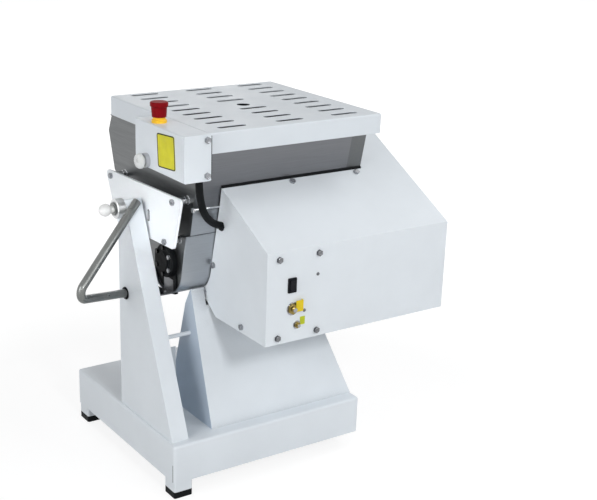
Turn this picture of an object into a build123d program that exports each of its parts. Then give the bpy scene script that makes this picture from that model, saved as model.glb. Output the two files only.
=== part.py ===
from build123d import *
import math
import os

os.makedirs("parts", exist_ok=True)

# Tilting dough mixer, millimetres, +Z up. X runs along the bowl's shaft, the drive cover faces -Y,
# and the bowl tips towards +Y. The origin is on the floor, under the middle of the whole machine.

# Base and legs
base_width = 530
base_depth = 513
base_top = 135
skirt_bottom = 41
base_sheet = 2
base_edge = 7
leg_side = 48
leg_wall = 2.5
right_leg_back = 80
foot_height = 16
foot_plug = 14
foot_play = 0.3

# Left upright, a bent sheet with a sloped front flange
upright_inset = 7
upright_sheet = 3
flange_width = 43
upright_front = 21
upright_rear = 276
upright_lean = 23.0
upright_top = 657
upright_head = 21

# Tilt axis
pivot_behind_front = 256
pivot_z = 636
journal_radius = 14
running_play = 0.05
bush_wall = 3
hub_radius = 23
hub_length = 20
side_play = 0.5

# Grab handle on the left upright
handle_radius = 10
handle_wall = 2
handle_bend = 20
handle_out = 178
handle_corner_behind_front = 141
handle_corner_z = 478
handle_hole_behind_front = 243
handle_hole_z = 431
handle_hole_play = 4
handle_tail = 5
handle_top_run = 26
handle_top_below = 3

# Clamp knob at the end of the left journal
stud_radius = 5
stud_depth = 30
washer_radius = 15
washer_thick = 2.5
knob_radius = 15
knob_neck = 9
knob_neck_radius = 8

# Trunnion plate on the bowl's left end
plate_gap = 7
plate_thick = 6
plate_above_axis = 51.5
plate_below_axis = 71
plate_top_front = 190
plate_top_rear = 182
plate_low_front = 150
plate_low_rear = 130
plate_turn = 1.7
plate_corner = 11
plate_standoff = 33
plate_bolt_top_half = 152
plate_bolt_above_axis = 39.5
plate_bolt_low_front = 112
plate_bolt_low_rear = 92
plate_bolt_below_axis = 61.5
bolt_radius = 4
bolt_head_radius = 7.5
bolt_head_high = 5.5
spacer_radius = 8

# Bowl
bowl_length = 416
end_plate = 3
bowl_sheet = 2
trough_radius = 77.5
trough_behind_front = 193
trough_z = 514
rim_z = 803
rim_front = 51.5
rim_rear = 480
knee_behind_front = 83
knee_z = 657
ramp_behind_front = 470
ramp_z = 670
flare_behind_front = 498
flare_z = 762
rim_bar = 3
rim_shelf = 2
rim_flange = 14
rim_corner_cut = 12
plug_radius = 9
plug_length = 9
plug_from_end = 14.5

# Agitator and its bearings
shaft_radius = 18
bearing_radius = 40
bearing_thick = 16
bearing_bolt_circle = 32
bearing_bolt_radius = 3
bearing_bolt_head = 5.5
bearing_bolt_high = 4
bearing_bolts_each = 6
bearing_cap = 3
bearing_cap_wall = 4
right_bearing_radius = 33
right_bearing_thick = 13
right_bolt_circle = 26
seal_wall = 9
seal_thick = 6
arm_count = 5
arm_tip_gap = 7
arm_width = 22
arm_thick = 12
arm_hub_wall = 8
arm_hub_length = 34
arm_blade_length = 58
arm_blade_thick = 10
arm_turn = 90

# Right upright
post_thick = 8
post_gap = 6
post_front = 243
post_rear_low = 334
post_rear_high = 300
post_head = 30
post_waist = 400
gusset_run = 84
gusset_top = 318
gusset_behind_post_front = 40
gusset_sheet = 4

# Pedestal below the drive cover
pedestal_inset = 121
pedestal_right = 2
pedestal_front = 35
pedestal_rear = 240
pedestal_sheet = 3
pedestal_front_lean = 17.7
pedestal_rear_lean = 15.8
pedestal_right_lean = 18.1
pedestal_top = 412
pedestal_lip_top = 449
pedestal_lip_width = 34
pedestal_lip_depth = 6
rod_radius = 5
rod_behind_front = 140.5
rod_z = 343.5
panel_behind_front = 208
panel_top = 284
panel_sheet = 2

# Lid with slots and a centre hole
lid_sheet = 1.5
lid_height = 45.7
lid_seat = 0.3
lid_left_over = 9
lid_right_over = 41
lid_front_over = 49
lid_rear_inside = 12
lid_corner = 5
slot_length = 74
slot_width = 17
slot_columns = 3
slot_rows = 9
slot_column_pitch = 152
slot_row_pitch = 50.3
slot_rows_back = 8
lid_hole_radius = 16
hinge_behind_lid = 9
hinge_above_rim = 20
hinge_radius = 7
hinge_pin_radius = 3.5
hinge_inset = 105
hinge_knuckle = 24
hinge_ear = 8
hinge_pin_head = 3
hinge_pin_head_radius = 6

# Control box beside the lid
box_gap = 2.5
box_width = 66
box_front = -11
box_depth = 216
box_bottom = 753
box_height = 101
box_sheet = 1.5
box_edge = 3
box_screw_inset = 10
box_screw_rise = 12
box_spacer_radius = 8
box_spacer_front = 92
box_spacer_rear = 30
box_spacer_rise = 24
tag_width = 77
tag_height = 76
tag_thick = 1
tag_rise = 15
tag_back = 38

# Emergency stop and start button
stop_inset = 24
stop_behind = 150
stop_ring_radius = 17
stop_ring_high = 7
stop_neck_wall = 3.5
stop_neck_high = 6
stop_stem_radius = 11
stop_head_radius = 20
stop_body_radius = 17.5
stop_head_high = 33
stop_cap_high = 12
stop_round = 3
stop_gap = 5.5
stop_block = 32
stop_block_high = 40
start_behind = 162
start_rise = 17
start_ring_radius = 16
start_ring_thick = 10
start_stem_radius = 11
start_cap_radius = 17
start_cap_thick = 12
start_dome = 9
start_gap = 5.5
start_block = 26
start_block_long = 30

# Hexagon screws of the covers
screw_radius = 4
screw_length = 8
screw_head_radius = 7.5
screw_head_high = 5

# Drive cover
cover_left_gap = 65
cover_sheet = 1.5
cover_right = 670
cover_front = 121
cover_bottom = 392.5
cover_front_top = 606.5
cover_slope = 27.9
cover_lip_behind_front = 69.5
cover_side_gap = 28
cover_waist_behind_front = 79
cover_waist_z = 655
cover_trough_gap = 4
cover_arc_end = 66
cover_floor_behind_front = 89
cover_side_top_behind = 175
cover_side_rear_behind = 300
side_screw_high_behind = 100
side_screw_high_z = 517
side_screw_low_behind = 138.5
side_screw_low_z = 439
side_screw_front_behind = -23.5
side_screw_front_z = 407
top_screw_inset = 11
top_screw_left = 345
top_screw_right = 530

# Controls on the front of the cover
rocker_x = 227
rocker_z = 526
rocker_width = 15
rocker_height = 27
rocker_bezel = 3.5
rocker_bezel_thick = 3
rocker_body_depth = 22
housing_wall = 1.5
rocker_axis_out = 1
rocker_side_play = 0.6
rocker_end_play = 1
rocker_tip_out = 6
rocker_dip_out = 3.5
stud_one_x = 230
stud_one_z = 469
stud_two_x = 243
stud_two_z = 430.5
stud_big_radius = 8
stud_big_reach = 13.5
stud_small_radius = 6
stud_small_reach = 11.5
stud_flange_extra = 3
stud_flange_thick = 3
stud_shank = 4
tag_one_x = 253.5
tag_one_z = 475
tag_one_wide = 20
tag_one_high = 23
tag_two_x = 261.5
tag_two_z = 439.5
tag_two_wide = 13
tag_two_high = 18
stud_tag_thick = 0.8
hole_one_x = 296
hole_one_z = 540.5
hole_two_x = 262.5
hole_two_z = 461
hole_radius = 3
panel_bolt_x = 192
panel_bolt_pitch_x = 105
panel_bolt_z = 407.5
panel_bolt_pitch_z = 182
panel_plate_margin = 10
panel_plate_sheet = 2

# Conduit from the control box to the cover
conduit_radius = 8.5
conduit_inset = 15
conduit_behind_box_front = 24
conduit_bend_z = 696
conduit_entry_behind_front = 66
conduit_entry_z = 620
conduit_straight = 22
conduit_tail = 5
conduit_top_bend = 55
conduit_low_bend = 30
gland_radius = 11
gland_thick = 5

# Drive inside the cover
tray_sheet = 4
tray_gap = 1.5
tray_end_gap = 5
tray_rear_behind_front = 76
drive_plate_thick = 5
drive_front_gap = 8
drive_front_z = 582
drive_chest_behind_front = 62
drive_chest_z = 640
drive_rear_behind_front = 205
drive_high_z = 600
drive_low_z = 460
drive_waist_behind_front = 132
drive_bolt_behind_front = 141
drive_bolt_spread = 45
bearing_room = 4
motor_axis_behind_front = -24
motor_axis_z = 500
motor_radius = 68
motor_length = 205
gearbox_length = 104
gearbox_half = 60
gearbox_foot = 16
output_radius = 12
output_inside = 40
pulley_gap = 12
pulley_width = 16
pulley_flange = 3
pulley_flange_high = 8
motor_pulley_radius = 30
driven_pulley_radius = 78
belt_gap = 0.5
belt_thick = 5
belt_side_gap = 1
shaft_end_margin = 6

# Places worked out from the sizes above
lean_turn = math.radians(upright_lean)


def flange_depth(z):
    """Distance of the left upright's front face behind the base's front edge, at height z."""
    return upright_front + math.tan(lean_turn) * (z - base_top)


handle_top_z = upright_top - handle_top_below
handle_top_x = upright_inset + handle_top_run
handle_top_y = flange_depth(handle_top_z) - handle_radius / math.cos(lean_turn)

# The handle's centre line is drawn from the base's front left corner, to learn how far its bend reaches.
handle_corner = Vector(-handle_out + upright_inset, handle_corner_behind_front, handle_corner_z)
handle_low = Vector(upright_inset + upright_sheet / 2, handle_hole_behind_front, handle_hole_z)
handle_low_end = handle_low + (handle_low - handle_corner).normalized() * handle_tail
handle_points = [handle_low_end, handle_corner, Vector(handle_top_x, handle_top_y, handle_top_z)]
with BuildLine() as handle_reach_line:
    FilletPolyline(*handle_points, radius=handle_bend)
handle_reach = handle_radius - handle_reach_line.line.bounding_box().min.X

base_left = (handle_reach - cover_right) / 2
base_front = (cover_front + stud_big_reach - base_depth) / 2
base_right = base_left + base_width
base_rear = base_front + base_depth
handle_shift = Vector(base_left, base_front, 0)

upright_x = base_left + upright_inset
pivot_y = base_front + pivot_behind_front
plate_x = upright_x + flange_width + plate_gap
bowl_x0 = plate_x + plate_thick + plate_standoff
bowl_x1 = bowl_x0 + bowl_length
trough_y = base_front + trough_behind_front
post_x = bowl_x1 + post_gap
hub_end_x = upright_x - hub_length
bush_radius = journal_radius + running_play + bush_wall

lid_x0 = bowl_x0 - lid_left_over
lid_x1 = bowl_x1 + lid_right_over
lid_y0 = base_front + rim_front - lid_front_over
lid_y1 = base_front + rim_rear - lid_rear_inside
rim_top = rim_z + rim_bar
lid_bottom = rim_top + lid_seat
lid_top = lid_bottom + lid_height
hinge_y = lid_y1 + hinge_behind_lid
hinge_z = rim_top + hinge_above_rim
hinge_centres = [lid_x0 + hinge_inset, lid_x1 - hinge_inset]
rim_x0 = lid_x0 + rim_shelf
rim_x1 = lid_x1 - rim_shelf
rim_y0 = base_front + rim_front - rim_flange
rim_y1 = hinge_y + hinge_radius
mouth_y0 = base_front + rim_front + bowl_sheet
mouth_y1 = base_front + rim_rear - bowl_sheet

box_x1 = lid_x0 - box_gap
box_x0 = box_x1 - box_width
box_y0 = base_front + box_front
box_y1 = box_y0 + box_depth
box_top = box_bottom + box_height
conduit_x = box_x1 - conduit_inset
conduit_y = box_y0 + conduit_behind_box_front
stop_x = box_x0 + stop_inset
stop_y = box_y0 + stop_behind
start_y = box_y0 + start_behind
start_z = box_bottom + start_rise

cover_x0 = bowl_x0 + cover_left_gap
cover_x1 = base_left + cover_right
cover_y0 = base_front - cover_front
side_x0 = post_x + post_thick + cover_side_gap
motor_y = base_front + motor_axis_behind_front
pulley_x = side_x0 + pulley_gap
pulley_end_x = pulley_x + pulley_width + 2 * pulley_flange
shaft_x0 = bowl_x0 - bearing_thick + shaft_end_margin
shaft_x1 = pulley_end_x + shaft_end_margin

UPWARD = (Align.CENTER, Align.CENTER, Align.MIN)
DOWNWARD = (Align.CENTER, Align.CENTER, Align.MAX)
RIGHTWARD = (Align.MIN, Align.CENTER, Align.CENTER)
ALONG_X = (0, 90, 0)
AGAINST_X = (0, -90, 0)


def at_x(x):
    """Sketch plane across the shaft: its local axes are Y and Z, and it looks along +X."""
    return Plane.YZ.offset(x)


def at_y(y):
    """Sketch plane facing the front: its local axes are X and Z, and it looks along -Y."""
    return Plane.XZ.offset(-y)


def at_z(z):
    """Level sketch plane at height z."""
    return Plane.XY.offset(z)


def save(piece, name):
    """Label a finished piece and write it as its own file."""
    piece.part.label = name
    export_step(piece.part, f"parts/{name}.step")


def bolts_along_x(places, x_seat, outward, head_radius, head_high, shank_radius, shank_length):
    """Hexagon bolts with heads on the seat at x_seat; outward is +1 or -1 along X."""
    inward = AGAINST_X if outward > 0 else ALONG_X
    with BuildPart() as bolts:
        for y, z in places:
            with BuildSketch(Plane((x_seat, y, z), x_dir=(0, 1, 0), z_dir=(outward, 0, 0))):
                RegularPolygon(head_radius, 6)
            extrude(amount=head_high)
            with Locations((x_seat, y, z)):
                Cylinder(shank_radius, shank_length, rotation=inward, align=UPWARD)
    return bolts


def cover_screws_at(places, direction):
    """Hexagon screws; each place is a point on the seat, and the heads point along direction."""
    with BuildPart() as screws:
        for place in places:
            seat = Plane(place, z_dir=direction)
            with BuildSketch(seat):
                RegularPolygon(screw_head_radius, 6)
            extrude(amount=screw_head_high)
            with BuildSketch(seat):
                Circle(screw_radius)
            extrude(amount=-screw_length)
    return screws


def tangent_point(centre, radius, point, side):
    """Where a line from point touches a circle; side +1 takes the touch anticlockwise of the centre line."""
    dx = point[0] - centre[0]
    dy = point[1] - centre[1]
    turn = math.atan2(dy, dx) + side * math.acos(radius / math.hypot(dx, dy))
    return centre[0] + radius * math.cos(turn), centre[1] + radius * math.sin(turn)


# Base pan: a folded sheet with deep skirts, open below
with BuildPart() as base_pan:
    with BuildSketch(at_z(skirt_bottom)):
        with Locations(((base_left + base_right) / 2, (base_front + base_rear) / 2)):
            RectangleRounded(base_width, base_depth, base_edge)
    extrude(amount=base_top - skirt_bottom)
    fillet(base_pan.faces().sort_by(Axis.Z)[-1].edges(), radius=base_edge - base_sheet / 2)
    with BuildSketch(at_z(skirt_bottom)):
        with Locations(((base_left + base_right) / 2, (base_front + base_rear) / 2)):
            RectangleRounded(base_width - 2 * base_sheet, base_depth - 2 * base_sheet, base_edge - base_sheet)
    extrude(amount=base_top - base_sheet - skirt_bottom, mode=Mode.SUBTRACT)
save(base_pan, "base_pan")

leg_inset = base_sheet + leg_side / 2
leg_inner = leg_side - 2 * leg_wall
leg_places = {
    "front_left": (base_left + leg_inset, base_front + leg_inset),
    "front_right": (base_right - leg_inset, base_front + leg_inset + right_leg_back),
    "rear_left": (base_left + leg_inset, base_rear - leg_inset),
    "rear_right": (base_right - leg_inset, base_rear - leg_inset),
}

# Legs: four square tubes inside the base, three in its corners and one set back behind the front skirt
with BuildPart() as legs:
    with BuildSketch(at_z(foot_height)):
        with Locations(*leg_places.values()):
            RectangleRounded(leg_side, leg_side, base_edge - base_sheet)
            Rectangle(leg_inner, leg_inner, mode=Mode.SUBTRACT)
    extrude(amount=base_top - base_sheet - foot_height)
save(legs, "legs")

# Rubber feet: a pad under each leg with a plug up inside the tube
with BuildPart() as rubber_feet:
    with BuildSketch(at_z(0)):
        with Locations(*leg_places.values()):
            RectangleRounded(leg_side, leg_side, base_edge - base_sheet)
    extrude(amount=foot_height)
    with BuildSketch(at_z(foot_height)):
        with Locations(*leg_places.values()):
            Rectangle(leg_inner - 2 * foot_play, leg_inner - 2 * foot_play)
    extrude(amount=foot_plug)
save(rubber_feet, "rubber_feet")

# Left upright: web facing left, sloped front flange, and a round head about the tilt axis
upright_y0 = base_front + upright_front
upright_y1 = base_front + upright_rear
flange_run = upright_sheet / math.cos(lean_turn)
with BuildPart() as left_upright:
    with BuildSketch(at_x(upright_x)):
        with BuildLine():
            Polyline(
                (upright_y0, base_top),
                (upright_y1, base_top),
                (upright_y1, pivot_z),
                (base_front + flange_depth(pivot_z), pivot_z),
                close=True,
            )
        make_face()
        with Locations((pivot_y, pivot_z)):
            Circle(upright_head)
            Circle(bush_radius, mode=Mode.SUBTRACT)
        with Locations((base_front + handle_hole_behind_front, handle_hole_z)):
            Circle(handle_radius + handle_hole_play, mode=Mode.SUBTRACT)
    extrude(amount=upright_sheet)
    with BuildSketch(at_x(upright_x)):
        with BuildLine():
            Polyline(
                (upright_y0, base_top),
                (upright_y0 + flange_run, base_top),
                (base_front + flange_depth(upright_top) + flange_run, upright_top),
                (base_front + flange_depth(upright_top), upright_top),
                close=True,
            )
        make_face()
    extrude(amount=flange_width)
save(left_upright, "left_upright")

# Grab handle: one bent tube from the flange's top, out to the left, and back through the web
with BuildPart() as grab_handle:
    with BuildLine() as handle_path:
        FilletPolyline(*[point + handle_shift for point in handle_points], radius=handle_bend)
    with BuildSketch(Plane(handle_path.line @ 0, z_dir=handle_path.line % 0)):
        Circle(handle_radius)
        Circle(handle_radius - handle_wall, mode=Mode.SUBTRACT)
    sweep()
save(grab_handle, "grab_handle")

# Pivot hub on the left upright, with a bronze bush through hub and web
with BuildPart() as pivot_hub:
    with BuildSketch(at_x(hub_end_x)):
        with Locations((pivot_y, pivot_z)):
            Circle(hub_radius)
            Circle(bush_radius, mode=Mode.SUBTRACT)
    extrude(amount=hub_length)
    chamfer(pivot_hub.faces().sort_by(Axis.X)[0].edges().sort_by(SortBy.LENGTH)[-1], bush_wall / 2)
save(pivot_hub, "pivot_hub")

# Bronze bushes of the tilt axis, one in each upright
with BuildPart() as pivot_bushes:
    for bush_x, bush_length in ((hub_end_x, hub_length + upright_sheet), (post_x, post_thick)):
        with BuildSketch(at_x(bush_x)):
            with Locations((pivot_y, pivot_z)):
                Circle(bush_radius)
                Circle(journal_radius + running_play, mode=Mode.SUBTRACT)
        extrude(amount=bush_length)
save(pivot_bushes, "pivot_bushes")

# Right upright: a post plate with a round head, and a welded gusset towards the middle of the base
post_y0 = base_front + post_front
with BuildPart() as right_upright:
    with BuildSketch(at_x(post_x)):
        with BuildLine():
            Polyline(
                (post_y0, base_top),
                (base_front + post_rear_low, base_top),
                (base_front + post_rear_high, post_waist),
                (base_front + post_rear_high, pivot_z),
                (post_y0, pivot_z),
                close=True,
            )
        make_face()
        with Locations((pivot_y, pivot_z)):
            Circle(post_head)
            Circle(bush_radius, mode=Mode.SUBTRACT)
    extrude(amount=post_thick)
    with BuildSketch(at_y(post_y0 + gusset_behind_post_front)):
        with BuildLine():
            Polyline(
                (post_x, base_top),
                (post_x, gusset_top),
                (post_x - gusset_run, base_top),
                close=True,
            )
        make_face()
    extrude(amount=gusset_sheet)
save(right_upright, "right_upright")

# Pedestal: a hollow tapering box of sheet, whose left front corner runs up to a point beside the drive cover
pedestal_x0 = base_left + pedestal_inset
pedestal_x1 = base_right - pedestal_right


def pedestal_corners(z, inset):
    """Left, right, front and rear of the pedestal at height z, moved in by inset."""
    rise = z - base_top
    right = pedestal_x1 - rise * math.tan(math.radians(pedestal_right_lean))
    front = base_front + pedestal_front + rise * math.tan(math.radians(pedestal_front_lean))
    rear = base_front + pedestal_rear - rise * math.tan(math.radians(pedestal_rear_lean))
    return pedestal_x0 + inset, right - inset, front + inset, rear - inset


def pedestal_section(z, inset):
    """Corners of the pedestal's level section at height z."""
    left, right, front, rear = pedestal_corners(z, inset)
    return [(left, front), (right, front), (right, rear), (left, rear)]


with BuildPart() as pedestal:
    with BuildSketch(at_z(base_top)):
        Polygon(*pedestal_section(base_top, 0), align=None)
    with BuildSketch(at_z(pedestal_top)):
        Polygon(*pedestal_section(pedestal_top, 0), align=None)
    loft(ruled=True)
    with BuildSketch(at_z(base_top)):
        Polygon(*pedestal_section(base_top, pedestal_sheet), align=None)
    with BuildSketch(at_z(pedestal_top)):
        Polygon(*pedestal_section(pedestal_top, pedestal_sheet), align=None)
    loft(ruled=True, mode=Mode.SUBTRACT)
    lip_low = pedestal_corners(pedestal_top, 0)
    lip_high = pedestal_corners(pedestal_lip_top, 0)
    with BuildSketch(at_z(pedestal_top)):
        with Locations((lip_low[0], lip_low[2])):
            Rectangle(pedestal_lip_width, pedestal_sheet, align=Align.MIN)
    with BuildSketch(at_z(pedestal_lip_top)):
        with Locations((lip_high[0], lip_high[2])):
            Rectangle(pedestal_lip_width, pedestal_sheet, align=Align.MIN)
    loft(ruled=True)
    with BuildSketch(at_z(pedestal_top)):
        with Locations((lip_low[0], lip_low[2])):
            Rectangle(pedestal_sheet, lip_low[3] - lip_low[2], align=Align.MIN)
    with BuildSketch(at_z(pedestal_lip_top)):
        with Locations((lip_high[0], lip_high[2])):
            Rectangle(pedestal_sheet, pedestal_lip_depth, align=Align.MIN)
    loft(ruled=True)
save(pedestal, "pedestal")

# Cross rod and cross panel tie the left upright to the pedestal
with BuildPart() as cross_rod:
    with Locations((upright_x + upright_sheet, base_front + rod_behind_front, rod_z)):
        Cylinder(
            rod_radius, pedestal_x0 - upright_x - upright_sheet, rotation=ALONG_X, align=UPWARD
        )
save(cross_rod, "cross_rod")

with BuildPart() as cross_panel:
    with BuildSketch(at_z(base_top)):
        with Locations((upright_x + upright_sheet, base_front + panel_behind_front)):
            Rectangle(pedestal_x0 - upright_x - upright_sheet, panel_sheet, align=Align.MIN)
    extrude(amount=panel_top - base_top)
save(cross_panel, "cross_panel")

# Bowl section across the shaft: sloped front, round trough, rear ramp and a flared pouring lip
trough_centre = (trough_y, trough_z)


def bowl_outline(inset):
    """Points of the open bowl section, moved inwards by inset, with the trough's two touch points."""
    radius = trough_radius - inset
    knee = (base_front + knee_behind_front + inset, knee_z)
    ramp = (base_front + ramp_behind_front - inset, ramp_z)
    flare = (base_front + flare_behind_front - inset, flare_z)
    front_touch = tangent_point(trough_centre, radius, knee, 1)
    rear_touch = tangent_point(trough_centre, radius, ramp, -1)
    front_rim = (base_front + rim_front + inset, rim_z)
    rear_rim = (base_front + rim_rear - inset, rim_z)
    return front_rim, knee, front_touch, rear_touch, ramp, flare, rear_rim


def bowl_face(inset):
    """Closed sketch of the bowl's section, to be made inside a sketch."""
    front_rim, knee, front_touch, rear_touch, ramp, flare, rear_rim = bowl_outline(inset)
    bottom = (trough_y, trough_z - trough_radius + inset)
    with BuildLine() as outline:
        Polyline(front_rim, knee, front_touch)
        ThreePointArc(front_touch, bottom, rear_touch)
        Polyline(rear_touch, ramp, flare, rear_rim, front_rim)
    return make_face(outline.edges(), mode=Mode.PRIVATE)


with BuildPart() as bowl_wrap:
    with BuildSketch(at_x(bowl_x0 + end_plate)):
        add(bowl_face(0))
        add(bowl_face(bowl_sheet), mode=Mode.SUBTRACT)
    extrude(amount=bowl_length - 2 * end_plate)
    with Locations((bowl_x0 + plug_from_end, trough_y, trough_z - trough_radius)):
        Cylinder(plug_radius / 2, 4 * bowl_sheet, mode=Mode.SUBTRACT)
save(bowl_wrap, "bowl_wrap")

# End plates close the trough, and the shaft passes through them; the right one has a flange that carries the
# bowl's front wall on to the end of the rim
shaft_hole = shaft_radius + seal_wall / 2
with BuildPart() as left_end_plate:
    with BuildSketch(at_x(bowl_x0)):
        add(bowl_face(0))
        with Locations(trough_centre):
            Circle(shaft_hole, mode=Mode.SUBTRACT)
    extrude(amount=end_plate)
save(left_end_plate, "left_end_plate")

with BuildPart() as right_end_plate:
    with BuildSketch(at_x(bowl_x1 - end_plate)):
        add(bowl_face(0))
        with Locations(trough_centre):
            Circle(shaft_hole, mode=Mode.SUBTRACT)
    extrude(amount=end_plate)
    with BuildSketch(at_x(bowl_x1)):
        wall_outer = bowl_outline(0)
        wall_inner = bowl_outline(bowl_sheet)
        Polygon(wall_outer[0], wall_outer[1], wall_inner[1], wall_inner[0], align=None)
    extrude(amount=rim_x1 - bowl_x1)
save(right_end_plate, "right_end_plate")

# Rim frame: a flat bar round the mouth, which the lid rests on
with BuildPart() as rim_frame:
    with BuildSketch(at_z(rim_z)):
        Polygon(
            (rim_x0, rim_y0),
            (rim_x1, rim_y0),
            (rim_x1, rim_y1 - rim_corner_cut),
            (rim_x1 - rim_corner_cut, rim_y1),
            (rim_x0 + rim_corner_cut, rim_y1),
            (rim_x0, rim_y1 - rim_corner_cut),
            align=None,
        )
        with Locations((bowl_x0 + end_plate, mouth_y0)):
            Rectangle(bowl_length - 2 * end_plate, mouth_y1 - mouth_y0, align=Align.MIN, mode=Mode.SUBTRACT)
    extrude(amount=rim_bar)
save(rim_frame, "rim_frame")

# Drain plug in the trough's bottom
with BuildPart() as drain_plug:
    with BuildSketch(at_z(trough_z - trough_radius - plug_length)):
        with Locations((bowl_x0 + plug_from_end, trough_y)):
            RegularPolygon(plug_radius, 6)
    extrude(amount=plug_length)
    with BuildSketch(at_z(trough_z - trough_radius)):
        with Locations((bowl_x0 + plug_from_end, trough_y)):
            Circle(plug_radius / 2)
    extrude(amount=bowl_sheet / 2)
save(drain_plug, "drain_plug")

# Trunnion plate, held off the bowl's left end by four bolts with spacers
def plate_point(back, above):
    """Y and Z of a place on the trunnion plate, from its place behind and above the axis before the turn."""
    turn = math.radians(-plate_turn)
    return (
        pivot_y + back * math.cos(turn) - above * math.sin(turn),
        pivot_z + back * math.sin(turn) + above * math.cos(turn),
    )


plate_outline = [
    plate_point(-plate_top_front, plate_above_axis),
    plate_point(plate_top_rear, plate_above_axis),
    plate_point(plate_low_rear, -plate_below_axis),
    plate_point(-plate_low_front, -plate_below_axis),
]
plate_bolt_places = [
    plate_point(-plate_bolt_top_half, plate_bolt_above_axis),
    plate_point(plate_bolt_top_half, plate_bolt_above_axis),
    plate_point(-plate_bolt_low_front, -plate_bolt_below_axis),
    plate_point(plate_bolt_low_rear, -plate_bolt_below_axis),
]
with BuildPart() as trunnion_plate:
    with BuildSketch(at_x(plate_x)) as plate_sketch:
        Polygon(*plate_outline, align=None)
        fillet(plate_sketch.vertices(), radius=plate_corner)
        with Locations(*plate_bolt_places):
            Circle(bolt_radius, mode=Mode.SUBTRACT)
    extrude(amount=plate_thick)
save(trunnion_plate, "trunnion_plate")

with BuildPart() as plate_spacers:
    with BuildSketch(at_x(plate_x + plate_thick)):
        with Locations(*plate_bolt_places):
            Circle(spacer_radius)
            Circle(bolt_radius, mode=Mode.SUBTRACT)
    extrude(amount=plate_standoff)
save(plate_spacers, "plate_spacers")

plate_grip = plate_thick + plate_standoff
plate_bolts = bolts_along_x(
    plate_bolt_places, plate_x, -1, bolt_head_radius, bolt_head_high, bolt_radius, plate_grip
)
save(plate_bolts, "plate_bolts")

# Journals carry the bowl in the two bushes
with BuildPart() as left_journal:
    with BuildSketch(at_x(hub_end_x)):
        with Locations((pivot_y, pivot_z)):
            Circle(journal_radius)
    extrude(amount=plate_x - hub_end_x)
    with BuildSketch(at_x(hub_end_x)):
        with Locations((pivot_y, pivot_z)):
            Circle(stud_radius + running_play)
    extrude(amount=stud_depth, mode=Mode.SUBTRACT)
save(left_journal, "left_journal")

with BuildPart() as right_journal:
    with BuildSketch(at_x(bowl_x1)):
        with Locations((pivot_y, pivot_z)):
            Circle(hub_radius)
    extrude(amount=post_gap - side_play)
    with BuildSketch(at_x(bowl_x1)):
        with Locations((pivot_y, pivot_z)):
            Circle(journal_radius)
    extrude(amount=post_gap + post_thick)
save(right_journal, "right_journal")

# Clamp knob: stud in the journal's end, thrust washer and ball
washer_x = hub_end_x - side_play - washer_thick
with BuildPart() as clamp_stud:
    with BuildSketch(at_x(washer_x - knob_neck)):
        with Locations((pivot_y, pivot_z)):
            Circle(stud_radius)
    extrude(amount=hub_end_x - washer_x + knob_neck + stud_depth - side_play)
    with BuildSketch(at_x(washer_x)):
        with Locations((pivot_y, pivot_z)):
            Circle(washer_radius)
    extrude(amount=washer_thick)
save(clamp_stud, "clamp_stud")

ball_run = knob_neck / 2 + knob_radius
ball_start = ball_run - math.sqrt(knob_radius**2 - knob_neck_radius**2)
with BuildPart() as ball_knob:
    with BuildSketch(Plane((washer_x, pivot_y, pivot_z), x_dir=(-1, 0, 0), z_dir=(0, 1, 0))):
        with BuildLine():
            Polyline(
                (ball_run + knob_radius, 0),
                (knob_neck, 0),
                (knob_neck, stud_radius),
                (0, stud_radius),
                (0, knob_neck_radius),
                (ball_start, knob_neck_radius),
            )
            ThreePointArc(
                (ball_start, knob_neck_radius), (ball_run, knob_radius), (ball_run + knob_radius, 0)
            )
        make_face()
    revolve(axis=Axis((washer_x, pivot_y, pivot_z), (1, 0, 0)))
save(ball_knob, "ball_knob")

# Shaft bearings on the outside of the end plates, with their bolts
left_bearing_bolts = [
    (trough_y + bearing_bolt_circle * math.cos(turn), trough_z + bearing_bolt_circle * math.sin(turn))
    for turn in [math.tau * (step + 0.5) / bearing_bolts_each for step in range(bearing_bolts_each)]
]
right_bearing_bolts = [
    (trough_y + right_bolt_circle * math.cos(turn), trough_z + right_bolt_circle * math.sin(turn))
    for turn in [math.tau * (step + 0.5) / bearing_bolts_each for step in range(bearing_bolts_each)]
]
with BuildPart() as left_bearing:
    with BuildSketch(at_x(bowl_x0 - bearing_thick)):
        with Locations(trough_centre):
            Circle(bearing_radius)
            Circle(shaft_radius + running_play, mode=Mode.SUBTRACT)
        with Locations(*left_bearing_bolts):
            Circle(bearing_bolt_radius, mode=Mode.SUBTRACT)
    extrude(amount=bearing_thick)
    chamfer(left_bearing.faces().sort_by(Axis.X)[0].edges().sort_by(SortBy.LENGTH)[-1], bush_wall)
    with BuildSketch(at_x(bowl_x0 - bearing_thick - bearing_cap)):
        with Locations(trough_centre):
            Circle(shaft_radius + bearing_cap_wall)
    extrude(amount=bearing_cap)
save(left_bearing, "left_bearing")

with BuildPart() as right_bearing:
    with BuildSketch(at_x(bowl_x1)):
        with Locations(trough_centre):
            Circle(right_bearing_radius)
            Circle(shaft_radius + running_play, mode=Mode.SUBTRACT)
        with Locations(*right_bearing_bolts):
            Circle(bearing_bolt_radius, mode=Mode.SUBTRACT)
    extrude(amount=right_bearing_thick)
save(right_bearing, "right_bearing")

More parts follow.
